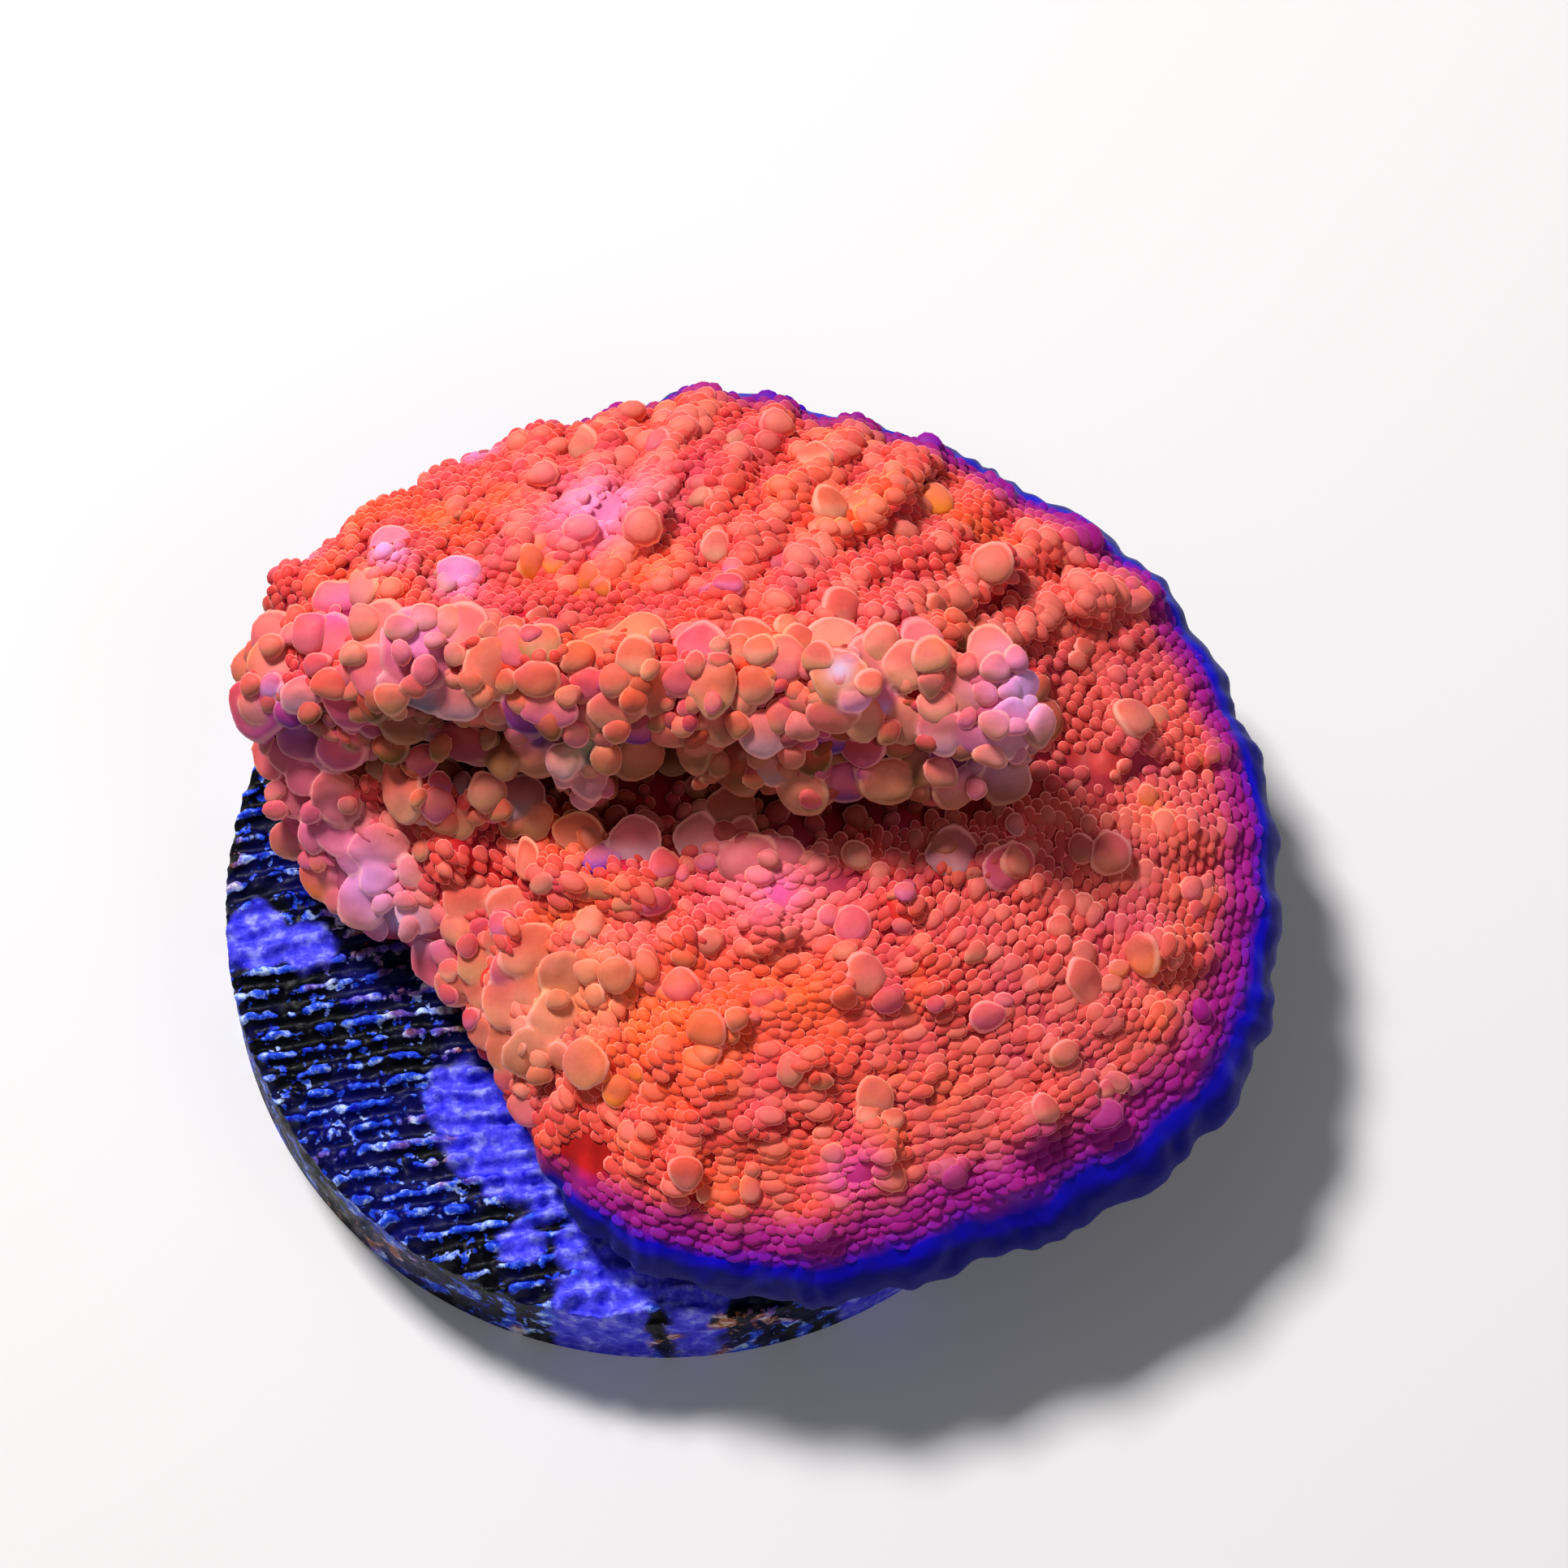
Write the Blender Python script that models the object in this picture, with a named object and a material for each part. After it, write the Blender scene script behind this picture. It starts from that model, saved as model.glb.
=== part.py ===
"""Chalice coral on a round ribbed frag disc.

Two pieces: the coral, which grew as one body (a plate, a raised shelf that ends
in a lumpy overhanging fold, and a foot), and the loose ceramic disc under it.
Origin: the middle of the disc's flat underside. +Z up, +X right, -Y is the
front, where the plate lies open below the fold.

Sizes below are in millimetres and are turned into metres when a mesh is made.
"""
import math
import random

import bmesh
import bpy
import numpy as np
from mathutils import Matrix, Vector, noise

MM = 0.001

# ---- the disc ----
DISC_RADIUS = 19.0
DISC_THICKNESS = 6.0
RIB_PITCH = 1.15
RIB_DEPTH = 0.5
RIB_TURN = math.radians(7.0)      # the ribs rise a little towards +X
RIB_WAVE = 0.7                    # how far a rib wanders sideways
DISC_EDGE_ROW = 0.05              # the outermost rows stand this far inside the edge
DISC_EDGE_BREAKS = 0.25           # how far the worn edge comes and goes
TOUCH_GAP = 0.3                   # left between the coral's foot and the rib tops

# ---- the coral's plan ----
PLATE_CENTRE = (4.0, 1.0)
PLATE_THICKNESS = 2.6
PLATE_TOP = 13.0                  # height of the open plate round its middle
RIM_ROUNDING = 1.5
RIM_SCALLOP = 0.22
RIM_SCALLOPS = 31
RIM_DROOP = 3.4                   # power of the rim's fall: higher keeps it flat longer
FOOT_CENTRE = (2.5, -0.5)
FOOT_RADIUS = 7.5
FOOT_FLARE = 5.0

# The rim, anticlockwise from +X: x, y and the height of its upper side.
RIM = [
    (26.5, 1.0, 9.0), (24.8, 8.0, 9.2), (20.6, 14.7, 9.6), (12.8, 19.1, 10.4),
    (7.6, 20.8, 10.8), (2.2, 21.9, 11.2), (-2.7, 20.4, 11.6), (-7.3, 18.8, 12.0),
    (-13.0, 15.1, 13.0), (-15.9, 11.4, 13.6), (-17.4, 7.4, 14.0), (-16.4, 3.0, 11.0),
    (-15.0, 0.0, 9.8), (-13.0, -1.9, 9.2), (-10.6, -3.2, 9.2), (-8.5, -6.3, 9.2),
    (-6.4, -10.0, 9.0), (-4.0, -14.6, 9.0), (-0.6, -17.4, 9.0), (6.2, -18.8, 8.8),
    (11.2, -17.8, 8.8), (20.0, -14.2, 8.8), (25.3, -8.2, 8.8),
]

# The crest of the fold from its left end to its free right end.
CREST = [
    (-17.5, 7.4, 15.4), (-14.0, 7.2, 17.6), (-10.0, 6.4, 19.0), (-6.0, 5.8, 19.6),
    (-2.0, 5.4, 20.0), (3.0, 5.2, 20.2), (8.0, 5.0, 20.2), (13.0, 5.0, 19.8),
    (18.0, 5.0, 19.0),
]
SHELF_ENDS = (8.5, 17.5)          # x over which the raised shelf sinks into the plate
FACE_DEPTH = 1.6                  # how far the face under the crest takes to fall

# The rounded bar that overhangs the face under the crest: x, y, z, radius.
LIP = [
    (-16.0, 7.0, 14.8, 1.1), (-13.5, 6.9, 16.4, 1.2), (-10.0, 6.3, 17.5, 1.3),
    (-6.5, 5.6, 18.1, 1.3), (-2.5, 5.1, 18.5, 1.4), (2.0, 4.8, 18.6, 1.4),
    (6.0, 4.6, 18.5, 1.5), (10.0, 4.4, 18.3, 1.5), (13.5, 4.3, 18.3, 1.4),
]
LIP_STEPS = 5                     # balls between two of those points

# Strings of lumps that run along the lip, each between two shares of its length. Each string
# stands forward of the lip's line and above it; a negative number is behind or below.
# From share, to share, forward, up, radius, count.
LUMP_STRINGS = [
    (0.35, 1.00, -0.3, 1.2, 1.4, 8), (0.00, 1.00, 0.8, 0.0, 1.4, 14),
    (0.00, 1.00, 2.3, -2.2, 1.2, 14), (0.00, 0.34, 4.2, -4.2, 1.0, 5),
    (0.02, 0.30, -4.0, -0.8, 1.2, 4),
]
LUMP_SWAY = 0.35                  # how far a lump strays from its string
LUMP_SIZES = (0.88, 1.12)         # share of its string's radius

# The lumps that stand out: the cone on the crest, the one that hangs, the large one at the left.
MAIN_LUMPS = [
    (7.5, 4.5, 20.0, 1.5), (-3.5, 3.0, 16.5, 1.5), (-3.0, 2.0, 15.0, 1.2), (-10.0, 6.5, 18.0, 1.8),
]
FREE_TIP = (13.6, 3.4, 17.7)      # the lobe that stands clear of the plate at the right
FREE_TIP_REACH = (2.5, 1.4, 2.3)

# Knobs on the plate and the shelf stand along a sunflower's spiral, which spreads them evenly.
KNOB_COUNT = 54
KNOB_TURN = math.pi * (3.0 - math.sqrt(5.0))
KNOB_REACH = (0.20, 0.82)         # shares of the way to the rim
KNOB_RADII = (1.0, 0.8, 1.1, 0.9, 0.8)
CUT_EDGE_GROWTH = 1.3             # how much larger they grow toward the cut left edge
KNOB_SINK = 0.15                  # share of its radius by which a knob's middle is proud

# The mouths of the polyps: x, y, radius and height of the mound that holds each.
POLYP_MOUNDS = [(-2.5, 13.0, 2.4, 0.7), (5.0, -2.5, 2.0, 0.45), (8.0, -14.5, 1.6, 0.35)]

SMALL_KNOB_ROWS = 26              # rows that run out from the middle to the rim
SMALL_KNOBS_IN_ROW = 5
SMALL_KNOB_RADIUS = (0.55, 0.8)
SEED = 11

# ---- how fine the meshes are ----
SECTORS = 220
RINGS = 60
FUSE_VOXEL = 0.36
SMOOTH_STEPS = 3
KEEP_SHARE = 0.102                # share of the fused faces that the finished solid keeps
RIB_STEPS = 8                     # faces along one rib


def smoothstep(low, high, value):
    """Rise from 0 at low to 1 at high with level ends."""
    t = min(max((value - low) / (high - low), 0.0), 1.0)
    return t * t * (3.0 - 2.0 * t)


def curve_through(points, closed, steps):
    """Points on a smooth curve through the given ones (Catmull-Rom)."""
    count = len(points)
    spans = count if closed else count - 1
    out = []
    for i in range(spans):
        if closed:
            a, b, c, d = (Vector(points[(i + k) % count]) for k in (-1, 0, 1, 2))
        else:
            a, b, c, d = (Vector(points[min(max(i + k, 0), count - 1)]) for k in (-1, 0, 1, 2))
        for s in range(steps):
            t = s / steps
            out.append(0.5 * (2 * b + (c - a) * t + (2 * a - 5 * b + 4 * c - d) * t * t
                              + (3 * b - a - 3 * c + d) * t ** 3))
    if not closed:
        out.append(Vector(points[-1]))
    return out


class Plan:
    """The coral's plan: how far the rim is in each direction, and where the crest runs."""

    def __init__(self):
        rim = np.array(curve_through(RIM, True, 12))
        angle = np.arctan2(rim[:, 1] - PLATE_CENTRE[1], rim[:, 0] - PLATE_CENTRE[0])
        order = np.argsort(angle)
        turn = 2 * math.pi
        self.angle = np.concatenate([angle[order] - turn, angle[order], angle[order] + turn])
        reach = np.hypot(rim[:, 0] - PLATE_CENTRE[0], rim[:, 1] - PLATE_CENTRE[1])
        self.reach = np.tile(reach[order], 3)
        self.height = np.tile(rim[order, 2], 3)
        back = rim[rim[:, 1] > CREST[0][1]]
        back = back[np.argsort(back[:, 0])]
        self.back = back
        self.crest = np.array(curve_through(CREST, False, 12))

    def rim_reach(self, angle):
        scallop = RIM_SCALLOP * math.sin(RIM_SCALLOPS * angle + 2.0 * math.sin(3 * angle))
        return float(np.interp(angle, self.angle, self.reach)) + scallop

    def rim_height(self, angle):
        return float(np.interp(angle, self.angle, self.height))

    def back_rim(self, x):
        """y and height of the rim behind the crest at x."""
        y = float(np.interp(x, self.back[:, 0], self.back[:, 1]))
        z = float(np.interp(x, self.back[:, 0], self.back[:, 2]))
        return y, z

    def crest_at(self, x):
        y = float(np.interp(x, self.crest[:, 0], self.crest[:, 1]))
        z = float(np.interp(x, self.crest[:, 0], self.crest[:, 2]))
        return y, z


def polar(x, y, plan):
    """Angle about the plate's centre, and how far out towards the rim (0 to 1)."""
    dx = x - PLATE_CENTRE[0]
    dy = y - PLATE_CENTRE[1]
    angle = math.atan2(dy, dx)
    return angle, math.hypot(dx, dy) / plan.rim_reach(angle)


def plate_height(angle, out, plan):
    """Height of the open plate's upper side, which droops towards the rim."""
    return PLATE_TOP - (PLATE_TOP - plan.rim_height(angle)) * out ** RIM_DROOP


def coral_top(x, y, plan):
    """Height of the coral's upper side: the plate, and the shelf raised behind the crest."""
    angle, out = polar(x, y, plan)
    plate = plate_height(angle, out, plan)
    crest_y, crest_z = plan.crest_at(x)
    back_y, back_z = plan.back_rim(x)
    raised = 1.0 - smoothstep(SHELF_ENDS[0], SHELF_ENDS[1], x)
    if y >= crest_y:
        share = min(max((back_y - y) / max(back_y - crest_y, 0.5), 0.0), 1.0)
        shelf = back_z + (crest_z - back_z) * share * (1.2 - 0.2 * share)
    else:
        shelf = plate + (crest_z - plate) * smoothstep(crest_y - FACE_DEPTH, crest_y, y)
    top = plate + (shelf - plate) * raised
    ripple = noise.noise(Vector((x * 0.16, y * 0.16, 3.0))) * 0.7
    top += ripple * smoothstep(1.0, 0.75, out)
    for mound_x, mound_y, radius, height in POLYP_MOUNDS:
        apart = math.hypot(x - mound_x, y - mound_y) / radius
        top += height * math.exp(-apart * apart)
    return top


def coral_under(x, y, plan):
    """Height of the coral's underside: a thin plate that gathers into the foot."""
    angle, out = polar(x, y, plan)
    plate = plate_height(angle, out, plan) - PLATE_THICKNESS
    foot_bottom = DISC_THICKNESS + TOUCH_GAP
    from_foot = math.hypot(x - FOOT_CENTRE[0], y - FOOT_CENTRE[1])
    spread = smoothstep(FOOT_RADIUS, FOOT_RADIUS + FOOT_FLARE, from_foot)
    return foot_bottom + (plate - foot_bottom) * spread


def rim_rounding(inside):
    """How far the surface has fallen at a distance inside the rim, as a quarter circle."""
    if inside >= RIM_ROUNDING:
        return 0.0
    share = 1.0 - inside / RIM_ROUNDING
    return 0.5 * PLATE_THICKNESS * (1.0 - math.sqrt(max(1.0 - share * share, 0.0)))


def add_plate(bm, plan):
    """The plate and shelf as one closed shell, on rings about the centre."""
    above = []
    below = []
    for ring in range(1, RINGS + 1):
        out = math.sin(0.5 * math.pi * ring / RINGS)
        above_row = []
        below_row = []
        for sector in range(SECTORS):
            angle = -math.pi + 2 * math.pi * (sector + 0.5) / SECTORS
            reach = plan.rim_reach(angle)
            x = PLATE_CENTRE[0] + out * reach * math.cos(angle)
            y = PLATE_CENTRE[1] + out * reach * math.sin(angle)
            fall = rim_rounding((1.0 - out) * reach)
            top = coral_top(x, y, plan) - fall
            under = coral_under(x, y, plan) + fall
            above_row.append(bm.verts.new((x, y, top)))
            if ring < RINGS:
                below_row.append(bm.verts.new((x, y, min(under, top - 0.2))))
        above.append(above_row)
        below.append(below_row if below_row else above_row)
    centre_x, centre_y = PLATE_CENTRE
    top_pole = bm.verts.new((centre_x, centre_y, coral_top(centre_x, centre_y, plan)))
    low_pole = bm.verts.new((centre_x, centre_y, coral_under(centre_x, centre_y, plan)))
    for sector in range(SECTORS):
        after = (sector + 1) % SECTORS
        bm.faces.new((top_pole, above[0][sector], above[0][after]))
        bm.faces.new((low_pole, below[0][after], below[0][sector]))
        for ring in range(RINGS - 1):
            bm.faces.new((above[ring][sector], above[ring + 1][sector],
                          above[ring + 1][after], above[ring][after]))
            bm.faces.new((below[ring][after], below[ring + 1][after],
                          below[ring + 1][sector], below[ring][sector]))


def add_ball(bm, place, radius, stretch=(1.0, 1.0, 1.0), fineness=3):
    shape = Matrix.Translation(place) @ Matrix.Diagonal((*stretch, 1.0))
    bmesh.ops.create_icosphere(bm, subdivisions=fineness, radius=radius, matrix=shape)


def add_lump_strings(bm):
    """Lumps along the lip, each string at its own distance from the lip's line."""
    draw = random.Random(SEED + 1)
    line = curve_through(LIP, False, 4 * LIP_STEPS)
    for start, end, forward, up, radius, count in LUMP_STRINGS:
        for k in range(count):
            share = start + (end - start) * k / (count - 1)
            x, y, z, _ = line[round(share * (len(line) - 1))]
            sway = [draw.uniform(-LUMP_SWAY, LUMP_SWAY) for _ in range(3)]
            place = (x + sway[0], y - forward + sway[1], z + up + sway[2])
            add_ball(bm, place, radius * draw.uniform(*LUMP_SIZES))


def under_the_lip(x, y, plan):
    return abs(y - plan.crest_at(x)[0] + 1.5) < 2.6 and x < LIP[-1][0] + 3.0


def add_fold(bm):
    """The overhanging lip along the crest, its lumps and its free right tip."""
    for (x, y, z, radius) in curve_through(LIP, False, LIP_STEPS):
        add_ball(bm, (x, y, z), radius)
    add_lump_strings(bm)
    for x, y, z, radius in MAIN_LUMPS:
        add_ball(bm, (x, y, z), radius)
    add_ball(bm, FREE_TIP, 1.0, FREE_TIP_REACH)


def add_knobs(bm, plan):
    """Large knobs where they stand, and small ones in rows that fan out to the rim."""
    for k in range(KNOB_COUNT):
        share = (k + 0.5) / KNOB_COUNT
        low, high = KNOB_REACH
        out = math.sqrt(low * low + (high * high - low * low) * share)
        turn = math.remainder(k * KNOB_TURN, 2 * math.pi)
        x = PLATE_CENTRE[0] + plan.rim_reach(turn) * out * math.cos(turn)
        y = PLATE_CENTRE[1] + plan.rim_reach(turn) * out * math.sin(turn)
        radius = KNOB_RADII[k % len(KNOB_RADII)]
        if x < 0.0 and y < 0.0:
            radius *= CUT_EDGE_GROWTH
        if not under_the_lip(x, y, plan):
            add_ball(bm, (x, y, coral_top(x, y, plan) + KNOB_SINK * radius), radius)
    draw = random.Random(SEED)
    for row in range(SMALL_KNOB_ROWS):
        angle = -math.pi + 2 * math.pi * (row + draw.uniform(-0.25, 0.25)) / SMALL_KNOB_ROWS
        for _ in range(SMALL_KNOBS_IN_ROW):
            out = math.sqrt(draw.uniform(0.12, 0.8))
            turn = angle + draw.uniform(-0.03, 0.03)
            reach = plan.rim_reach(turn) * out
            x = PLATE_CENTRE[0] + reach * math.cos(turn)
            y = PLATE_CENTRE[1] + reach * math.sin(turn)
            radius = draw.uniform(*SMALL_KNOB_RADIUS)
            if not under_the_lip(x, y, plan):
                add_ball(bm, (x, y, coral_top(x, y, plan) + 0.1 * radius), radius, fineness=2)


def scale_to_metres(bm):
    bmesh.ops.scale(bm, vec=(MM, MM, MM), verts=bm.verts)


def new_object(name, bm, material):
    mesh = bpy.data.meshes.new(name)
    bm.to_mesh(mesh)
    bm.free()
    mesh.materials.append(material)
    piece = bpy.data.objects.new(name, mesh)
    bpy.context.scene.collection.objects.link(piece)
    return piece


def plain_material(name, colour, roughness):
    material = bpy.data.materials.new(name)
    material.use_nodes = True
    shader = material.node_tree.nodes["Principled BSDF"]
    shader.inputs["Base Color"].default_value = (*colour, 1.0)
    shader.inputs["Roughness"].default_value = roughness
    shader.inputs["Metallic"].default_value = 0.0
    return material


def make_coral():
    """All of the coral fused in one skin, then thinned to a light solid."""
    plan = Plan()
    bm = bmesh.new()
    add_plate(bm, plan)
    add_fold(bm)
    add_knobs(bm, plan)
    scale_to_metres(bm)
    coral = new_object("chalice_coral", bm, plain_material("living coral", (0.87, 0.15, 0.09), 0.45))
    fuse = coral.modifiers.new("fuse", "REMESH")
    fuse.mode = "VOXEL"
    fuse.voxel_size = FUSE_VOXEL * MM
    fuse.use_smooth_shade = True
    settle = coral.modifiers.new("settle", "SMOOTH")
    settle.factor = 0.5
    settle.iterations = SMOOTH_STEPS
    thin = coral.modifiers.new("thin out", "DECIMATE")
    thin.decimate_type = "COLLAPSE"
    thin.ratio = KEEP_SHARE
    return coral


def rib_rows():
    """Where the rows across the disc lie: tips and hollows of the ribs, then the edge."""
    half_pitch = 0.5 * RIB_PITCH
    count = int(DISC_RADIUS / half_pitch)
    rows = [row * half_pitch for row in range(-count, count + 1)]
    edge = DISC_RADIUS - DISC_EDGE_ROW
    return [-edge] + [row for row in rows if abs(row) < edge - 0.25] + [edge]


def rib_point(row, step, across):
    """A point of the ribbed upper side; the ribs die out at the disc's edge."""
    half = math.sqrt(DISC_RADIUS ** 2 - across ** 2)
    along = -half * math.cos(math.pi * step / RIB_STEPS)
    if step in (0, RIB_STEPS):
        breaks = DISC_EDGE_BREAKS * noise.noise(Vector((across * 0.9, step, 5.0)))
        return (along + breaks, across, DISC_THICKNESS - RIB_DEPTH)
    wander = RIB_WAVE * noise.noise(Vector((along * 0.14, across * 0.1, 0.0)))
    wander *= smoothstep(DISC_RADIUS, 0.85 * DISC_RADIUS, abs(across))
    fall = 0.0 if row % 2 == 0 else RIB_DEPTH
    return (along, across + wander, DISC_THICKNESS - fall)


def make_disc():
    """A round disc whose upper side is ribbed, with a flat underside."""
    bm = bmesh.new()
    grid = []
    for row, across in enumerate(rib_rows()):
        grid.append([bm.verts.new(rib_point(row, step, across)) for step in range(RIB_STEPS + 1)])
    for low, high in zip(grid, grid[1:]):
        for step in range(RIB_STEPS):
            bm.faces.new((low[step], low[step + 1], high[step + 1], high[step]))
    edge = (grid[0] + [line[-1] for line in grid[1:-1]]
            + grid[-1][::-1] + [line[0] for line in grid[-2:0:-1]])
    foot = [bm.verts.new((vert.co.x, vert.co.y, 0.0)) for vert in edge]
    for i, vert in enumerate(edge):
        after = (i + 1) % len(edge)
        bm.faces.new((edge[after], vert, foot[i], foot[after]))
    bm.faces.new(foot[::-1])
    turn = Matrix.Rotation(RIB_TURN, 4, "Z")
    bmesh.ops.transform(bm, matrix=turn, verts=bm.verts)
    scale_to_metres(bm)
    return new_object("frag_disc", bm, plain_material("dark ceramic", (0.02, 0.02, 0.035), 0.55))


def main():
    for old in list(bpy.data.objects):
        bpy.data.objects.remove(old, do_unlink=True)
    make_coral()
    make_disc()


main()
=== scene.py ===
# %% [markdown]
# # A chalice coral on its frag disc
#
# A chalice coral grows as a thin plate of lime with living skin over it. The skin is
# covered with soft bumps, called papillae, that stand in rings along the growing rim. This
# colony has folded over itself: a shelf rises behind a lumpy lip that overhangs the plate.
# The rim, where the coral grows, is smooth and blue. It all sits on a round ribbed disc.
#
# The lesson takes the plain solids as its frame and dresses them: first the skin, then the
# papillae, then the disc, and at the end the floor, the light and the camera.

# %% Load the frame
import math

import bmesh
import bpy
import numpy as np
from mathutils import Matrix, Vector, noise
from mathutils.bvhtree import BVHTree


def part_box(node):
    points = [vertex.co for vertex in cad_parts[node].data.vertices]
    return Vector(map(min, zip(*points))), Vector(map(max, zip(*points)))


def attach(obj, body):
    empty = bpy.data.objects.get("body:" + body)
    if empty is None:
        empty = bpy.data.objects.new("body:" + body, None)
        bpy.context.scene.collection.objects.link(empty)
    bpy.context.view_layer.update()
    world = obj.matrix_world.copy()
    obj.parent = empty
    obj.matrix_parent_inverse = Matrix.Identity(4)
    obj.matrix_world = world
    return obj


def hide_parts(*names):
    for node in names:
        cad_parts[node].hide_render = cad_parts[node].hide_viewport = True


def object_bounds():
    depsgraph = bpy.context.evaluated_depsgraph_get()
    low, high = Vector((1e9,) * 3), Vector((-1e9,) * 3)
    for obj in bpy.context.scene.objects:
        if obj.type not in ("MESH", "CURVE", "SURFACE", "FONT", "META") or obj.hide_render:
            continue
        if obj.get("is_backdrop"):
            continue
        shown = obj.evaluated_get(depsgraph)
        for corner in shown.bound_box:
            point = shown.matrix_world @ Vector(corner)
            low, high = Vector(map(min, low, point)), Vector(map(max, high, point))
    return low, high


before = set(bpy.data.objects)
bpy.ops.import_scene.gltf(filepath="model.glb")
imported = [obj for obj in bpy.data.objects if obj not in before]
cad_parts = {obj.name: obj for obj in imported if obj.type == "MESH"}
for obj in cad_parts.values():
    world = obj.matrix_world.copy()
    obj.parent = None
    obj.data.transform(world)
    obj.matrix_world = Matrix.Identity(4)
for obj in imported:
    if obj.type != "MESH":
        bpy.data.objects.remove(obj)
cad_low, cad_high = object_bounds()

MM = 0.001
SEED = 5
draw = np.random.default_rng(SEED)
disc_low, disc_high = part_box("frag_disc")
coral_low, coral_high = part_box("chalice_coral")
DISC_RADIUS = 0.5 * (disc_high.y - disc_low.y)
DISC_TOP = disc_high.z
PLATE_CENTRE = np.array([4.0, 1.0]) * MM
print("coral box, mm:", [round(v / MM, 1) for v in (*coral_low, *coral_high)])

# %% [markdown]
# ## Tools for every step
#
# Blender's operators act on whatever is selected, so each step clears the selection, takes
# one piece, and picks its points by where they are. A finished piece keeps its place in its
# mesh, with its object at the origin.

# %% Helpers for pieces


def take(piece):
    """Make one piece the only selected and active one."""
    bpy.ops.object.select_all(action="DESELECT")
    piece.select_set(True)
    bpy.context.view_layer.objects.active = piece


def add_modifier(piece, name, kind, **settings):
    """Add a modifier with these settings and apply it at once."""
    modifier = piece.modifiers.new(name, kind)
    for key, value in settings.items():
        setattr(modifier, key, value)
    take(piece)
    bpy.ops.object.modifier_apply(modifier=name)


def pick(piece, test):
    """In edit mode, select the points for which test(point) is true."""
    mesh = bmesh.from_edit_mesh(piece.data)
    for face in mesh.faces:
        face.select = False
    for edge in mesh.edges:
        edge.select = False
    for vert in mesh.verts:
        vert.select = bool(test(vert.co))
    mesh.select_flush_mode()
    bmesh.update_edit_mesh(piece.data)


def points_of(mesh):
    """The mesh's points as an array of rows."""
    flat = np.zeros(len(mesh.vertices) * 3)
    mesh.vertices.foreach_get("co", flat)
    return flat.reshape(-1, 3)


def normals_of(mesh):
    """The direction in which the surface faces at each point."""
    flat = np.zeros(len(mesh.vertices) * 3, np.float32)
    mesh.vertex_normals.foreach_get("vector", flat)
    return flat.reshape(-1, 3).astype(float)


def put_points(mesh, points):
    """Move the mesh's points to these rows."""
    mesh.vertices.foreach_set("co", points.ravel())
    mesh.update()


def put_values(mesh, name, values):
    """Keep one number for each point, for the materials to read."""
    layer = mesh.attributes.get(name) or mesh.attributes.new(name, "FLOAT", "POINT")
    layer.data.foreach_set("value", np.asarray(values, np.float32))


def put_colours(mesh, name, colours):
    """Keep one colour and its strength for each point."""
    layer = mesh.attributes.new(name, "FLOAT_COLOR", "POINT")
    layer.data.foreach_set("color", np.asarray(colours, np.float32).ravel())


# %% Helpers for numbers


def smoothstep(low, high, value):
    """Rise from 0 at low to 1 at high with level ends, for numbers or arrays."""
    t = np.clip((value - low) / (high - low), 0.0, 1.0)
    return t * t * (3.0 - 2.0 * t)


def noise_at(points, scale, seed=0.0):
    """Smooth noise, about -1 to 1, read at each point; scale is the size of its waves."""
    shift = Vector((seed, 1.7 * seed, -seed))
    return np.array([noise.noise(Vector(p) / scale + shift) for p in points])


def spread(low, high, count):
    """Numbers drawn evenly between low and high."""
    return draw.uniform(low, high, count)


def unit(rows):
    """Rows made one long."""
    return rows / np.maximum(np.linalg.norm(rows, axis=1)[:, None], 1e-12)


def paint(red, green, blue):
    """A colour as a painter's program shows it (0 to 255), in the linear values of shaders."""
    parts = [channel / 255 for channel in (red, green, blue)]
    return tuple(p / 12.92 if p <= 0.04045 else ((p + 0.055) / 1.055) ** 2.4 for p in parts)


# %% [markdown]
# ## The skin
#
# The solid coral has the right form, but its faces are about a millimetre across. A copy of
# it is merged, laid out again as a fine even net by the Remesh modifier, and smoothed until
# the old facets are gone. The form and the size stay the solid's own.

# %% The skin as a fine net
SKIN_NET = 0.25 * MM
skin_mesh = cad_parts["chalice_coral"].data.copy()
skin = bpy.data.objects.new("coral_skin", skin_mesh)
bpy.context.scene.collection.objects.link(skin)
skin_mesh.materials.clear()
take(skin)
bpy.ops.object.mode_set(mode="EDIT")
bpy.ops.mesh.select_all(action="SELECT")
bpy.ops.mesh.remove_doubles(threshold=0.000001)
bpy.ops.object.mode_set(mode="OBJECT")
add_modifier(skin, "even net", "REMESH", mode="VOXEL", voxel_size=SKIN_NET)
add_modifier(skin, "soften", "SMOOTH", factor=0.5, iterations=8)
print("skin faces:", len(skin.data.polygons))

# %% [markdown]
# ## Where the rim is
#
# Papillae and colours follow the rim, so each point needs to know how far inside it is. The
# skin itself gives the answer: its furthest reach from the plate's middle, read in narrow
# sectors. The blue band has its own width in each direction and dies out at the left.

# %% Distance to the rim
SECTORS = 180
BAND_TURNS = np.radians([-180, -128, -112, -90, -45, 0, 45, 75, 95, 108, 120, 132, 180])
BAND_WIDTHS = np.array([0, 0, 1.5, 2.1, 3.0, 1.9, 1.6, 1.4, 1.1, 0.75, 0.4, 0, 0]) * MM


def turn_and_reach(points):
    """Angle about the plate's middle and distance from it, in plan."""
    apart = points[:, :2] - PLATE_CENTRE
    return np.arctan2(apart[:, 1], apart[:, 0]), np.hypot(apart[:, 0], apart[:, 1])


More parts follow.
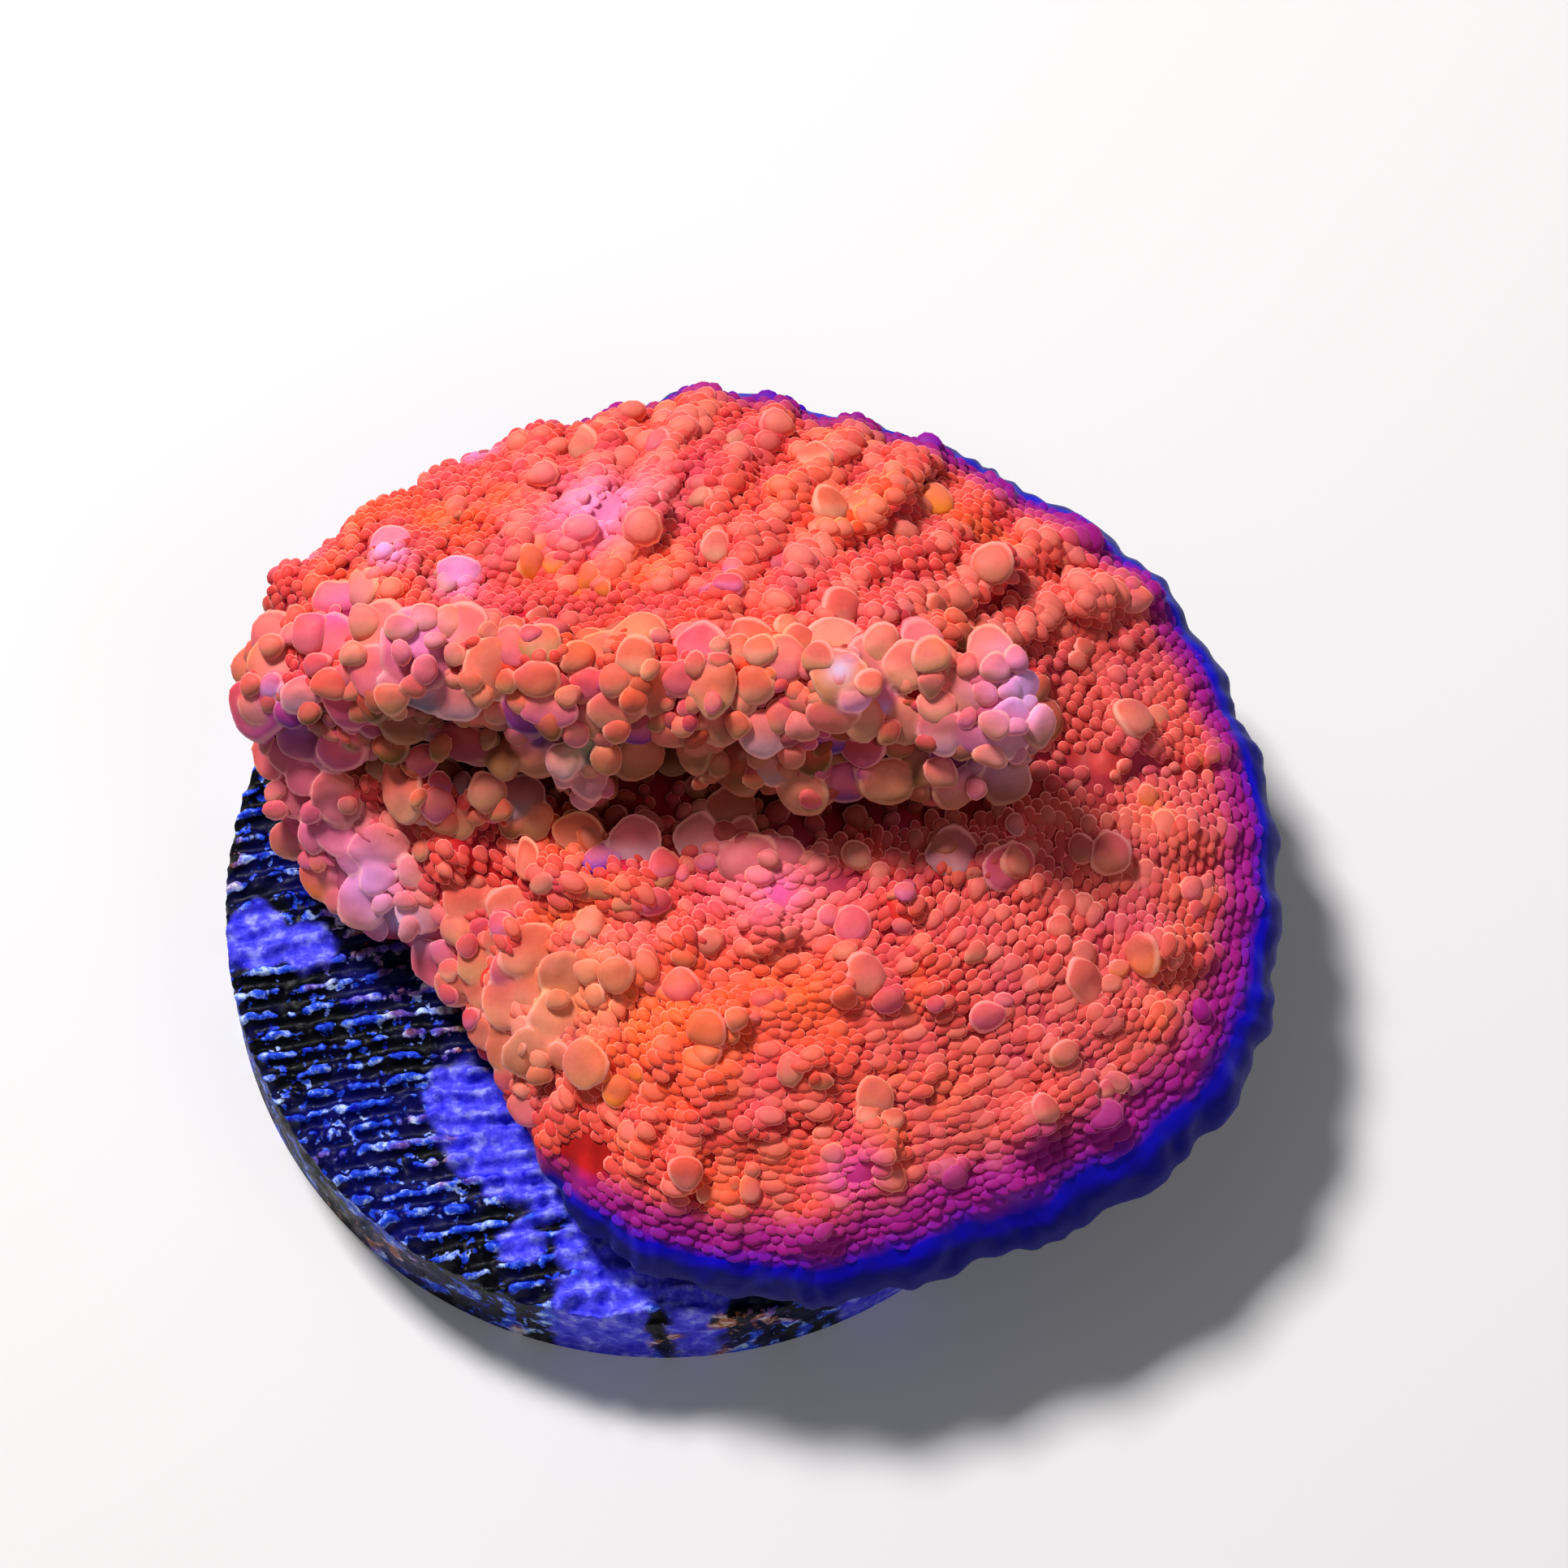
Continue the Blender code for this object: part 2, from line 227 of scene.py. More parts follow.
def measure_rim(points):
    """The rim's reach in each sector, smoothed a little."""
    turn, reach = turn_and_reach(points)
    sector = np.floor((turn + math.pi) / (2 * math.pi) * SECTORS).astype(int) % SECTORS
    rim = np.zeros(SECTORS)
    np.maximum.at(rim, sector, reach)
    return (np.roll(rim, 1) + 2 * rim + np.roll(rim, -1)) / 4


rim_reach = measure_rim(points_of(skin.data))
rim_turns = (np.arange(SECTORS) + 0.5) / SECTORS * 2 * math.pi - math.pi


def rim_at(turn):
    """How far the rim is from the plate's middle in these directions."""
    return np.interp(turn, rim_turns, rim_reach, period=2 * math.pi)


def inside_rim(points):
    """How far each point is inside the rim, in plan."""
    turn, reach = turn_and_reach(points)
    return rim_at(turn) - reach


def band_at(turn):
    """Width of the smooth blue band in these directions."""
    return np.interp(turn, BAND_TURNS, BAND_WIDTHS)


def rim_mask(points):
    """0 on the plate, 1 at the very edge, over the width of the blue band."""
    turn, _ = turn_and_reach(points)
    band = band_at(turn)
    fade = smoothstep(0.05 * MM, 0.9 * MM, band)
    return np.clip(1.0 - inside_rim(points) / np.maximum(band * 1.5, 1e-6), 0, 1) * fade


print("rim reach, mm:", round(rim_reach.min() / MM, 1), "to", round(rim_reach.max() / MM, 1))

# %% [markdown]
# ## Tints
#
# Most of the skin is red to salmon, but mouths are pink, some tips are lilac, and the folded
# lip turns blue and teal under its overhang, partly its own colour and partly painted shade. A
# short list of soft round spots says where; the green spots under the lip are painted shade,
# and the white spots on the tip's top and the cone's top are painted highlights. Every point of
# the coral then carries its own tint and how strong it is.

# %% The tints and where they lie
TINTS = {
    "peach": paint(242, 166, 136), "tan": paint(216, 152, 110), "olive": paint(125, 90, 40),
    "pink": paint(248, 120, 150), "mauve": paint(206, 100, 148), "lilac": paint(226, 156, 226),
    "violet": paint(78, 36, 190), "blue": paint(24, 32, 225), "teal": paint(80, 135, 170),
    "green": paint(95, 175, 120), "grey": paint(198, 150, 164), "yellow": paint(252, 140, 45),
    "white": paint(205, 200, 255), "magenta": paint(220, 60, 190), "orange": paint(250, 95, 20),
    "shade_green": paint(105, 135, 110), "dish": paint(232, 118, 92), "rose": paint(190, 84, 82),
}
# Places in millimetres: x, y, z, radius, tint and strength. First the plate's right side and the
# polyps' mouths, then the tip, the cone, the fold, the knobs at the left and the cut edge, then
# green painted shade under the lip and two lilac spots at the back.
SPOTS = [
    (20.5, 1.0, 12.5, 6.0, "rose", 0.45), (18.0, -7.0, 12.5, 5.0, "rose", 0.45),
    (12.5, -12.0, 12.0, 4.5, "rose", 0.40), (20.0, 8.0, 13.0, 4.5, "rose", 0.35),
    (-2.5, 13.0, 16.5, 2.5, "pink", 0.9), (-2.5, 13.0, 17.0, 1.5, "lilac", 0.9),
    (5.0, -2.5, 13.5, 2.2, "pink", 0.8), (5.0, -2.5, 13.5, 0.5, "magenta", 0.9),
    (8.0, -14.5, 12.0, 1.2, "magenta", 0.7), (1.5, -8.5, 13.0, 3.5, "orange", 0.7),
    (7.0, -6.5, 13.5, 2.5, "orange", 0.5), (-3.0, -6.5, 13.0, 2.0, "tan", 0.5),
    (15.0, 4.0, 20.0, 1.6, "lilac", 0.9), (14.5, 2.0, 17.5, 1.8, "grey", 0.7),
    # The white spots on the tip's top and the cone's top are painted highlights.
    (15.5, 4.0, 20.5, 0.6, "white", 0.7), (12.5, 2.5, 17.0, 1.0, "violet", 0.6),
    (7.5, 4.5, 21.5, 0.4, "white", 0.9), (7.5, 4.5, 20.5, 1.0, "tan", 0.6),
    (-10.0, 6.5, 20.0, 1.2, "lilac", 0.5), (-10.0, 5.0, 18.0, 1.2, "teal", 0.6),
    (-5.5, 4.0, 18.0, 1.0, "violet", 0.7), (-3.0, 3.0, 17.5, 1.2, "green", 0.5),
    (-3.0, 2.0, 15.5, 1.0, "grey", 0.6), (-4.0, 3.0, 17.0, 0.6, "blue", 0.7),
    (-11.5, 11.5, 18.0, 0.9, "lilac", 0.9), (-8.5, 10.0, 18.5, 0.9, "lilac", 0.9),
    (-13.5, 9.0, 18.0, 1.2, "magenta", 0.5), (-15.5, 5.0, 14.5, 1.5, "violet", 0.5),
    (-16.0, 4.0, 12.0, 1.5, "pink", 0.8), (-14.5, 1.5, 11.0, 1.8, "mauve", 0.8),
    (-12.5, -1.0, 10.5, 1.5, "lilac", 0.8), (-11.0, -2.5, 9.5, 1.0, "white", 0.8),
    (-9.5, -3.5, 9.5, 1.0, "mauve", 0.6), (-6.0, -8.5, 11.5, 2.0, "tan", 0.5),
    # Painted shade: green under the lip.
    (6.0, 2.0, 15.5, 1.5, "shade_green", 0.6), (10.0, 1.5, 15.5, 1.5, "shade_green", 0.4),
    (-8.0, 18.0, 12.5, 0.8, "lilac", 0.6), (-15.5, 12.0, 13.5, 1.0, "lilac", 0.6),
]


def tint_at(points, own=None, own_strength=0.0):
    """Tint and strength at each point; own is the tint that a piece has by itself."""
    total = np.zeros((len(points), 3))
    weights = np.full(len(points), 1e-6)
    bare = np.ones(len(points))
    for x, y, z, radius, tint, strength in SPOTS:
        apart = np.linalg.norm(points - np.array([x, y, z]) * MM, axis=1) / (radius * MM)
        share = strength * np.exp(-apart ** 2)
        total += share[:, None] * np.array(TINTS[tint])
        weights += share
        bare *= 1 - share
    if own is not None:
        own_share = own_strength * (0.15 + 0.85 * bare)
        total += own * np.reshape(own_share, (-1, 1))
        weights += own_share
        bare *= 1 - own_share
    return np.concatenate([total / weights[:, None], (1 - bare)[:, None]], axis=1)


# %% [markdown]
# ## Relief of the bare skin
#
# Between the papillae the skin has fine ribs, the costae, that run out to the rim. They are
# strongest on the smooth band. A soft ripple keeps the rest from looking blown up. Under the
# lip a slot is pressed in, and the same places are painted with shade.

# %% Costae, ripple and slot
COSTAE = 84
COSTA_HEIGHT = 0.10 * MM
RIPPLE = 0.15 * MM
SLOT_DEPTH = 0.9 * MM
# The slot under the lip, pressed in and painted with shade, in mm: x, y, z, radius and how deep.
SLOT_AND_SHADE_PLACES = [
    (-12.0, 4.0, 15.6, 1.0, 0.7), (-10.4, 3.4, 15.8, 1.1, 0.9), (-8.6, 2.8, 15.8, 1.1, 0.9),
    (-6.8, 3.2, 16.0, 1.3, 1.0), (-5.6, 3.0, 15.0, 1.4, 1.0), (-4.6, 2.6, 14.2, 1.2, 1.0),
    (-1.4, 2.6, 15.4, 1.5, 1.0), (0.4, 2.8, 16.0, 1.5, 1.0), (-0.4, 2.0, 14.6, 1.4, 1.0),
    (2.4, 3.0, 15.4, 1.6, 1.0), (4.4, 2.4, 14.6, 1.4, 1.0), (-3.0, 1.4, 13.6, 1.0, 0.7),
    (-14.4, 5.0, 14.6, 0.8, 0.5), (3.2, 4.0, 18.4, 0.9, 0.5), (9.4, 2.8, 17.0, 1.0, 0.8),
    (7.6, 3.0, 17.6, 0.9, 0.7), (13.0, 1.6, 14.4, 1.2, 1.0), (9.0, 2.4, 15.6, 1.0, 0.8),
    (-10.6, 4.2, 16.8, 0.8, 0.7), (-7.6, 3.9, 16.6, 0.8, 0.7),
]

# %% [markdown]
# ## Ridges and cones on the shelf
#
# Low ridges fan out over the shelf to its rim, and a few cones stand on each. They start on a
# line behind the lip, from the first place to the second, and run to the rim at turns from the
# first angle to the second.

# %% Ridges and cones
RIDGE_COUNT = 9
RIDGE_STARTS = ((-6.0, 11.0), (11.5, 7.0))
RIDGE_TURNS = (118.0, 34.0)
RIDGE_WIDTH = 0.75 * MM
CONES_ON_RIDGE = 3


def ridge_crests():
    """Crests that fan out over the shelf to its rim, with how high each rises."""
    crests = []
    for k in range(RIDGE_COUNT):
        share = k / (RIDGE_COUNT - 1)
        start = np.array(RIDGE_STARTS[0]) * (1 - share) + np.array(RIDGE_STARTS[1]) * share
        turn = math.radians(RIDGE_TURNS[0] * (1 - share) + RIDGE_TURNS[1] * share)
        way = np.array([math.cos(turn), math.sin(turn)])
        end = (PLATE_CENTRE + 0.93 * rim_at(np.array([turn]))[0] * way) / MM
        side = np.array([-(end - start)[1], (end - start)[0]]) * 0.03
        crest = [start + (end - start) * at + side * math.sin(9 * at + k) for at in np.linspace(0, 1, 6)]
        crests.append((0.45 + 0.15 * (k % 3), *[tuple(p) for p in crest]))
    return crests


def cones_on(crests):
    """Cones on the crests: x, y, radius and height in mm."""
    cones = []
    for k, (_, *crest) in enumerate(crests):
        for i in range(CONES_ON_RIDGE):
            x, y = crest[1 + (2 * i + k) % 5]
            cones.append((x, y, 0.85 + 0.1 * ((i + k) % 4), 0.45 + 0.1 * ((k + i) % 3)))
    return cones


RIDGES = ridge_crests()
CONES = cones_on(RIDGES)
print("ridges and cones:", len(RIDGES), len(CONES))


def ridge_lift(points):
    """How far the shelf's ridges lift these points; their outer walls are the steeper ones."""
    lifted = np.zeros(len(points))
    for height, *crest in RIDGES:
        for start, end in zip(crest, crest[1:]):
            start, along = np.array(start) * MM, (np.array(end) - np.array(start)) * MM
            share = np.clip((points[:, :2] - start) @ along / (along @ along), 0, 1)
            off = points[:, :2] - start - share[:, None] * along
            width = np.where(off[:, 0] > 0, 0.7, 1.3) * RIDGE_WIDTH
            wave = np.exp(-(off ** 2).sum(axis=1) / width ** 2)
            lifted = np.maximum(lifted, wave * height * MM)
    return lifted


# %% [markdown]
# ## Raise the skin
#
# All of it is one lift of each point along the way the skin faces: ribs, ripple, ridges and
# cones outward, the slot inward. That is simpler than sculpting and stays easy to change.

# %% Raise the skin
net = points_of(skin.data)
facing = normals_of(skin.data)
net_turn, _ = turn_and_reach(net)
near_rim = smoothstep(5.0 * MM, 0.8 * MM, inside_rim(net))
wander = noise_at(net, 5 * MM, 2.0) * 0.13
strength = 0.6 + 0.6 * noise_at(net, 3 * MM, 12.0)
costae = np.cos((net_turn + wander) * COSTAE) * COSTA_HEIGHT * near_rim * strength
ripple = noise_at(net, 1.5 * MM, 7.0) * RIPPLE
fine = noise_at(net, 0.6 * MM, 8.0) * 0.3 * RIPPLE
swell = np.zeros(len(net))
for x, y, radius, height in CONES:
    apart = np.hypot(net[:, 0] / MM - x, net[:, 1] / MM - y) / radius
    swell = np.maximum(swell, height * np.exp(-apart ** 2))
swell = np.maximum(swell * MM, ridge_lift(net)) * smoothstep(0.2, 0.7, facing[:, 2])
slot = np.zeros(len(net))
for x, y, z, radius, strength in SLOT_AND_SHADE_PLACES:
    apart = np.linalg.norm(net - np.array([x, y, z]) * MM, axis=1) / (radius * MM)
    slot = np.maximum(slot, strength * np.exp(-apart ** 2))
lift = costae + ripple + fine + swell - slot * SLOT_DEPTH
put_points(skin.data, net + facing * lift[:, None])

# %% [markdown]
# ## Masks for the colour
#
# Two masks are measured on the skin itself. How far it bulges comes from a flattened copy,
# and how little of the sky it sees from lines sent upward. The second is painted shade: where
# the sky is hidden, the colour is darkened toward brown.

# %% Bulge and shade
SKY_TURNS = 5
SKY_TILTS = (0.55, 1.1)
SHADE_REACH = 14 * MM

skin_points = points_of(skin.data)
skin_facing = normals_of(skin.data)
soft = bpy.data.objects.new("soft_copy", skin.data.copy())
bpy.context.scene.collection.objects.link(soft)
add_modifier(soft, "flatten", "SMOOTH", factor=0.5, iterations=60)
lift = ((skin_points - points_of(soft.data)) * skin_facing).sum(axis=1)
bulge = smoothstep(0.0, 0.30 * MM, lift)
bpy.data.objects.remove(soft, do_unlink=True)

skin_tree = BVHTree.FromPolygons(
    [tuple(p) for p in skin_points], [tuple(f.vertices) for f in skin.data.polygons])
sky = [Vector((0, 0, 1))]
for tilt in SKY_TILTS:
    for k in range(SKY_TURNS):
        turn = 2 * math.pi * (k + tilt) / SKY_TURNS
        sky.append(Vector((math.sin(tilt) * math.cos(turn), math.sin(tilt) * math.sin(turn),
                           math.cos(tilt))))


def shade_at(points, facing):
    """Share of the sky that other parts of the coral hide from each point."""
    shade = np.zeros(len(points))
    for i, (point, normal) in enumerate(zip(points, facing)):
        start = Vector(point) + Vector(normal) * (0.3 * MM)
        hidden = sum(skin_tree.ray_cast(start, way, SHADE_REACH)[0] is not None for way in sky)
        shade[i] = hidden / len(sky)
    return shade


# Painted shade: the share of hidden sky darkens the colour; faces that turn down take the underside colour
# instead.
skin_shade = shade_at(skin_points, skin_facing)
skin_under = smoothstep(-0.15, -0.6, skin_facing[:, 2])
skin_shade = skin_shade * (1 - skin_under)
# The slot under the lip is painted with shade as well as pressed in.
skin_shade = np.maximum(skin_shade, slot)
put_values(skin.data, "up", 0.12 + 0.50 * bulge)
put_values(skin.data, "edge", np.zeros(len(skin_points)))
put_values(skin.data, "tone", np.zeros(len(skin_points)))
put_values(skin.data, "rim", rim_mask(skin_points))
put_values(skin.data, "shade", skin_shade)
put_values(skin.data, "under", skin_under)
put_colours(skin.data, "tint", tint_at(skin_points))
skin.data.shade_smooth()
print("skin points:", len(skin_points), "deep shade:", int((skin_shade > 0.6).sum()))

# %% [markdown]
# ## One papilla
#
# A papilla is a small cushion: a flat crown, widest a little above its neck, and a foot that
# goes down into the skin. It is modelled once, as a ring that is extruded upward and resized
# step by step, and closed at both ends. It has only a few dozen faces, because it is copied
# thousands of times. The big lobes of the fold use the same form, made finer.

# %% Model the papilla
# Radius and height of each ring, from the foot up to the crown.
PAPILLA_RINGS = [(0.60, -1.30), (0.88, -0.38), (1.00, 0.00), (0.89, 0.32), (0.58, 0.53)]
SCALE_RINGS = [(0.64, -1.20), (1.00, -0.08), (0.94, 0.26), (0.66, 0.42)]
DISH_RINGS = [(0.55, -1.10), (0.86, -0.60), (1.00, 0.05), (0.98, 0.42), (0.89, 0.55), (0.78, 0.42),
              (0.60, 0.24), (0.35, 0.13)]
LOBE_RINGS = [(0.72, -1.75), (0.88, -0.90), (0.98, -0.32), (1.00, 0.02), (0.96, 0.26),
              (0.84, 0.48), (0.64, 0.64), (0.36, 0.73)]


def model_papilla(name, sides, rings, crown):
    """A closed cushion with its widest ring at height 0 and radius 1."""
    bpy.ops.object.select_all(action="DESELECT")
    radius, height = rings[0]
    bpy.ops.mesh.primitive_circle_add(vertices=sides, radius=radius, fill_type="NGON",
                                      location=(0, 0, 0))
    piece = bpy.context.object
    piece.name = name
    bpy.ops.object.mode_set(mode="EDIT")
    bpy.ops.mesh.select_all(action="SELECT")
    bpy.ops.transform.translate(value=(0, 0, height))
    for next_radius, next_height in rings[1:]:
        bpy.ops.mesh.extrude_region_move(
            TRANSFORM_OT_translate={"value": (0, 0, next_height - height)})
        grow = next_radius / radius
        bpy.ops.transform.resize(value=(grow, grow, 1), center_override=(0, 0, next_height))
        radius, height = next_radius, next_height
    bpy.ops.mesh.poke()
    pick(piece, lambda p: p.to_2d().length < 0.01 and p.z > 0)
    bpy.ops.transform.translate(value=(0, 0, crown - height))
    bpy.ops.mesh.select_all(action="SELECT")
    bpy.ops.mesh.normals_make_consistent(inside=False)
    bpy.ops.object.mode_set(mode="OBJECT")
    return piece


papilla = model_papilla("papilla_pattern", sides=10, rings=PAPILLA_RINGS, crown=0.62)
scale = model_papilla("scale_pattern", sides=10, rings=SCALE_RINGS, crown=0.60)
lobe = model_papilla("lobe_pattern", sides=16, rings=LOBE_RINGS, crown=0.76)
dish = model_papilla("dish_pattern", sides=20, rings=DISH_RINGS, crown=0.10)
print("papilla faces:", len(papilla.data.polygons), "lobe faces:", len(lobe.data.polygons))

# %% [markdown]
# ## Copying it
#
# Each copy is turned so that its long side follows its ring, leaned, tapered and scaled by
# its own numbers, and all copies of one group are joined in one mesh. Every point knows how
# far up its papilla it is, and where the papilla's thin pale edge lies. That edge is a painted
# highlight of the outline as seen from the front and above: on the far side it sits a little
# higher, where the outline falls from that view.

# %% Functions that plant copies
FACED = np.array([0.0, -0.342, 0.940])
BEYOND = np.array([0.0, 0.940, 0.342])
# How far the painted outline highlight rises on each copy's far side.
EDGE_SHIFT = 0.30


def skin_value(values, feet):
    """A value of the skin at the face nearest to each foot."""
    faces = skin.data.polygons
    found = [skin_tree.find_nearest(Vector(foot))[2] for foot in feet]
    return np.array([np.mean(values[list(faces[face].vertices)]) for face in found])


def plant(pattern, feet, axes, longs, sizes, tapers, tones, own=None, own_strength=None,
          low_shade=0.0):
    """Points, faces and values of copies that stand at feet and point along axes."""
    shape = points_of(pattern.data)
    pattern_faces = [tuple(face.vertices) for face in pattern.data.polygons]
    count, each = len(feet), len(shape)
    across = unit(np.cross(axes, longs))
    along = np.cross(across, axes)
    x, y, z = shape.T
    sideways = y[None, :] * (1 + tapers[:, None] * x[None, :])
    flat = (along[:, None, :] * (sizes[:, 0, None] * x[None, :])[:, :, None]
            + across[:, None, :] * (sizes[:, 1, None] * sideways)[:, :, None])
    points = feet[:, None, :] + flat + axes[:, None, :] * (sizes[:, 2, None] * z[None, :])[:, :, None]
    radius = np.hypot(x, y)
    top = 0.5 + 0.5 * np.clip(1 - radius, 0, 1) ** 0.75
    up = np.tile(np.where(z >= 0, top, 0.5 - 0.5 * z / z.min()), count)
    # The edge value places the painted highlight of the outline, higher on the far side.
    far = (flat @ BEYOND) / np.maximum(sizes[:, :2].max(axis=1), 1e-9)[:, None]
    edge = up - EDGE_SHIFT * (far * (axes @ BEYOND)[:, None]).ravel()
    points = points.reshape(-1, 3)
    # Painted shade: the lower, front side of each copy, away from the key light, is darkened by low_shade
    # and carries more of the piece's own tint.
    shaded_side = smoothstep(0.45, -0.35, far.ravel() + 0.4 * np.tile(z, count))
    shade = np.repeat(skin_value(skin_shade, feet), each)
    shade = shade + np.repeat(np.broadcast_to(low_shade, count), each) * shaded_side
    if own is not None:
        own = np.repeat(own, each, axis=0)
        own_strength = np.repeat(own_strength, each) * (0.25 + 0.75 * shaded_side)
    values = {
        "up": up, "edge": edge, "tone": np.repeat(tones, each),
        "rim": np.repeat(rim_mask(feet), each),
        "shade": np.clip(shade, 0, 1),
        "under": np.zeros(count * each), "tint": tint_at(points, own, own_strength),
    }
    faces = [tuple(i * each + v for v in face) for i in range(count) for face in pattern_faces]
    return points, faces, values


def soft_ceiling(points):
    """Press the highest tips gently down, so that nothing leaves the solid's box."""
    room = 0.5 * MM
    start = cad_high.z - room
    above = np.maximum(points[:, 2] - start, 0)
    pressed = points.copy()
    pressed[:, 2] = np.minimum(points[:, 2], start) + room * 0.97 * np.tanh(above / room)
    return pressed


def build(name, points, faces, values):
    """A piece from these points and faces, with its values kept as attributes."""
    mesh = bpy.data.meshes.new(name)
    mesh.from_pydata(soft_ceiling(points), [], faces)
    mesh.shade_smooth()
    for key, numbers in values.items():
        if key == "tint":
            put_colours(mesh, key, numbers)
        else:
            put_values(mesh, key, numbers)
    piece = bpy.data.objects.new(name, mesh)
    bpy.context.scene.collection.objects.link(piece)
    print(name, "triangles:", sum(len(face) - 2 for face in faces))
    return piece


def even_out(mesh, values, times):
    """Values shared out along the mesh's edges, a few times over."""
    ends = np.zeros(len(mesh.edges) * 2, np.int64)
    mesh.edges.foreach_get("vertices", ends)
    first, second = ends.reshape(-1, 2).T
    degree = np.bincount(ends, minlength=len(values)).astype(float)
    for _ in range(times):
        total = np.zeros_like(values)
        np.add.at(total, first, values[second])
        np.add.at(total, second, values[first])
        share = total.T / degree
        values = 0.4 * values + 0.6 * share.T
    return values


def wobble(points):
    """Points moved a little by soft noise, so that no two lobes are the same."""
    moved = points.copy()
    for axis in range(3):
        moved[:, axis] += noise_at(points, 1.0 * MM, 40.0 + axis) * 0.20 * MM
    return moved


def grow_together(name, net_size, points, faces, values):
    """Lobes run together into one skin; each new point takes its values from the old ones."""
    lumpy = wobble(points)
    piece = build(name, lumpy, faces, {})
    tree = BVHTree.FromPolygons([tuple(p) for p in lumpy], faces)
    add_modifier(piece, "one skin", "REMESH", mode="VOXEL", voxel_size=net_size)
    add_modifier(piece, "soften", "SMOOTH", factor=0.5, iterations=2)
    new = points_of(piece.data)
    ids, weights = np.zeros((len(new), 4), int), np.zeros((len(new), 4))
    for i, point in enumerate(new):
        place, _, face, _ = tree.find_nearest(Vector(point))
        corners = list(faces[face])[:4]
        ids[i, :len(corners)] = corners
        apart = np.linalg.norm(lumpy[corners] - np.array(place), axis=1)
        weights[i, :len(corners)] = 1 / (apart + 0.01 * MM)
    weights /= weights.sum(axis=1)[:, None]
    for key, numbers in values.items():
        carried = (numbers[ids] * (weights[:, :, None] if key == "tint" else weights)).sum(axis=1)
        carried = even_out(piece.data, carried, 6 if key == "tint" else 1)
        if key == "tint":
            put_colours(piece.data, key, tint_at(new, carried[:, :3], carried[:, 3]))
        else:
            put_values(piece.data, key, carried)
    piece.data.shade_smooth()
    print(name, "merged faces:", len(piece.data.polygons))
    return piece


# %% [markdown]
# ## Lobes of the fold, and knobs
#
# Where the plate folded over, papillae grew into lobes and fingers of a millimetre or more,
# each different, that hang over one another. Knobs on the open plate are papillae that grew
# large, often two or three run together. A few lobes stand out and have a row of their own:
# where it is, how wide and high it looks from the front, its tilt in degrees, and its tint.
# The others grow by rule: the large ones first, then smaller ones in the room that is left.

# %% The lobes
# Millimetres: x, y, z, half width, half height, tilt in degrees, tint.
MAIN_LOBES = [
    (7.5, 4.5, 21.0, 1.2, 1.2, 0, "tan"), (-10.0, 6.0, 20.0, 1.6, 1.8, 0, "pink"),
    (-10.0, 5.0, 18.0, 1.7, 0.9, -10, "teal"), (-5.5, 4.0, 18.0, 1.1, 1.2, 0, "violet"),
    (-3.0, 3.0, 17.5, 0.9, 1.4, 10, "teal"), (-3.0, 2.0, 15.5, 0.8, 1.1, 0, "grey"),
    (14.5, 3.0, 18.5, 1.0, 1.3, 0, "grey"), (15.0, 4.5, 19.5, 0.8, 0.7, 0, "lilac"),
    (13.0, 3.0, 17.5, 1.3, 0.7, -30, "violet"), (-11.5, 11.5, 18.0, 0.9, 0.8, 0, "lilac"),
    (-8.5, 10.0, 18.5, 1.0, 0.7, -10, "lilac"), (-13.5, 9.0, 18.0, 1.2, 0.9, 0, "pink"),
    (-4.0, -6.0, 13.0, 1.2, 1.1, 30, "tan"), (-5.5, -9.0, 11.5, 1.2, 1.1, 0, "tan"),
    (-3.0, -9.5, 12.0, 1.0, 1.1, 0, "tan"), (-3.5, 0.0, 14.0, 1.0, 0.9, 0, "dish"),
    (-5.5, -1.0, 13.5, 0.6, 0.9, 0, "dish"),
]
# The tints of the other lobes high and low on the fold and on the cut edge, and how often
# each comes.
LOBE_TINTS = {
    "high": (("", "peach", "pink", "tan", "lilac"), (0.22, 0.36, 0.18, 0.20, 0.04)),
    "low": (("peach", "tan", "mauve", "grey", "violet", "olive"), (0.22, 0.26, 0.20, 0.14, 0.10, 0.08)),
    "edge": (("tan", "peach", "mauve", "pink", "yellow", ""), (0.26, 0.26, 0.18, 0.14, 0.08, 0.08)),
}
# Room in mm round the large, the middling and the small lobes, the large ones first.
LOBE_ROOMS = ((1.9, 2.5), (1.25, 1.7), (0.85, 1.15))
# Half width and half height together: below the first a lobe is small, above the second large.
SMALL_LOBE = 1.15 * MM
LARGE_LOBE = 2.0 * MM
LOW_ON_FOLD = 13.6 * MM
HIGHEST_FOOT = 20.4 * MM
# Knobs on the open plate and the shelf: how many single ones at most, and their room in mm.
KNOB_COUNT = 62
BIG_KNOB = 0.62 * MM
KNOB_ROOM = (2.2, 3.4)
KNOB_TINTS = (("", "peach", "tan", "yellow", "pink", "mauve"), (0.26, 0.26, 0.20, 0.10, 0.10, 0.08))
# The net of the lobes that run together, the tints that do so, and how thick a lobe gets.
LOBE_NET = 0.13 * MM
DRAPED = ("grey", "teal", "blue", "violet", "lilac")
FLESH = 0.66 * MM
PALE_TINTS = ("lilac", "white", "grey", "mauve")
TINT_STRENGTH = {"": 0.45, "peach": 0.8, "tan": 0.85, "pink": 0.7, "mauve": 0.8, "orange": 0.5,
                 "dish": 0.85}
TO_FRONT = np.array([0.0, -0.45, 0.89])
# How many places are tried for the lobes of each size, the fold's front, the knobs and the
# steep sides.
LOBE_TRIES, FRONT_TRIES, KNOB_TRIES, STEEP_TRIES = 6000, 9000, 5000, 26000
drop_from = float(cad_high.z) + 5 * MM

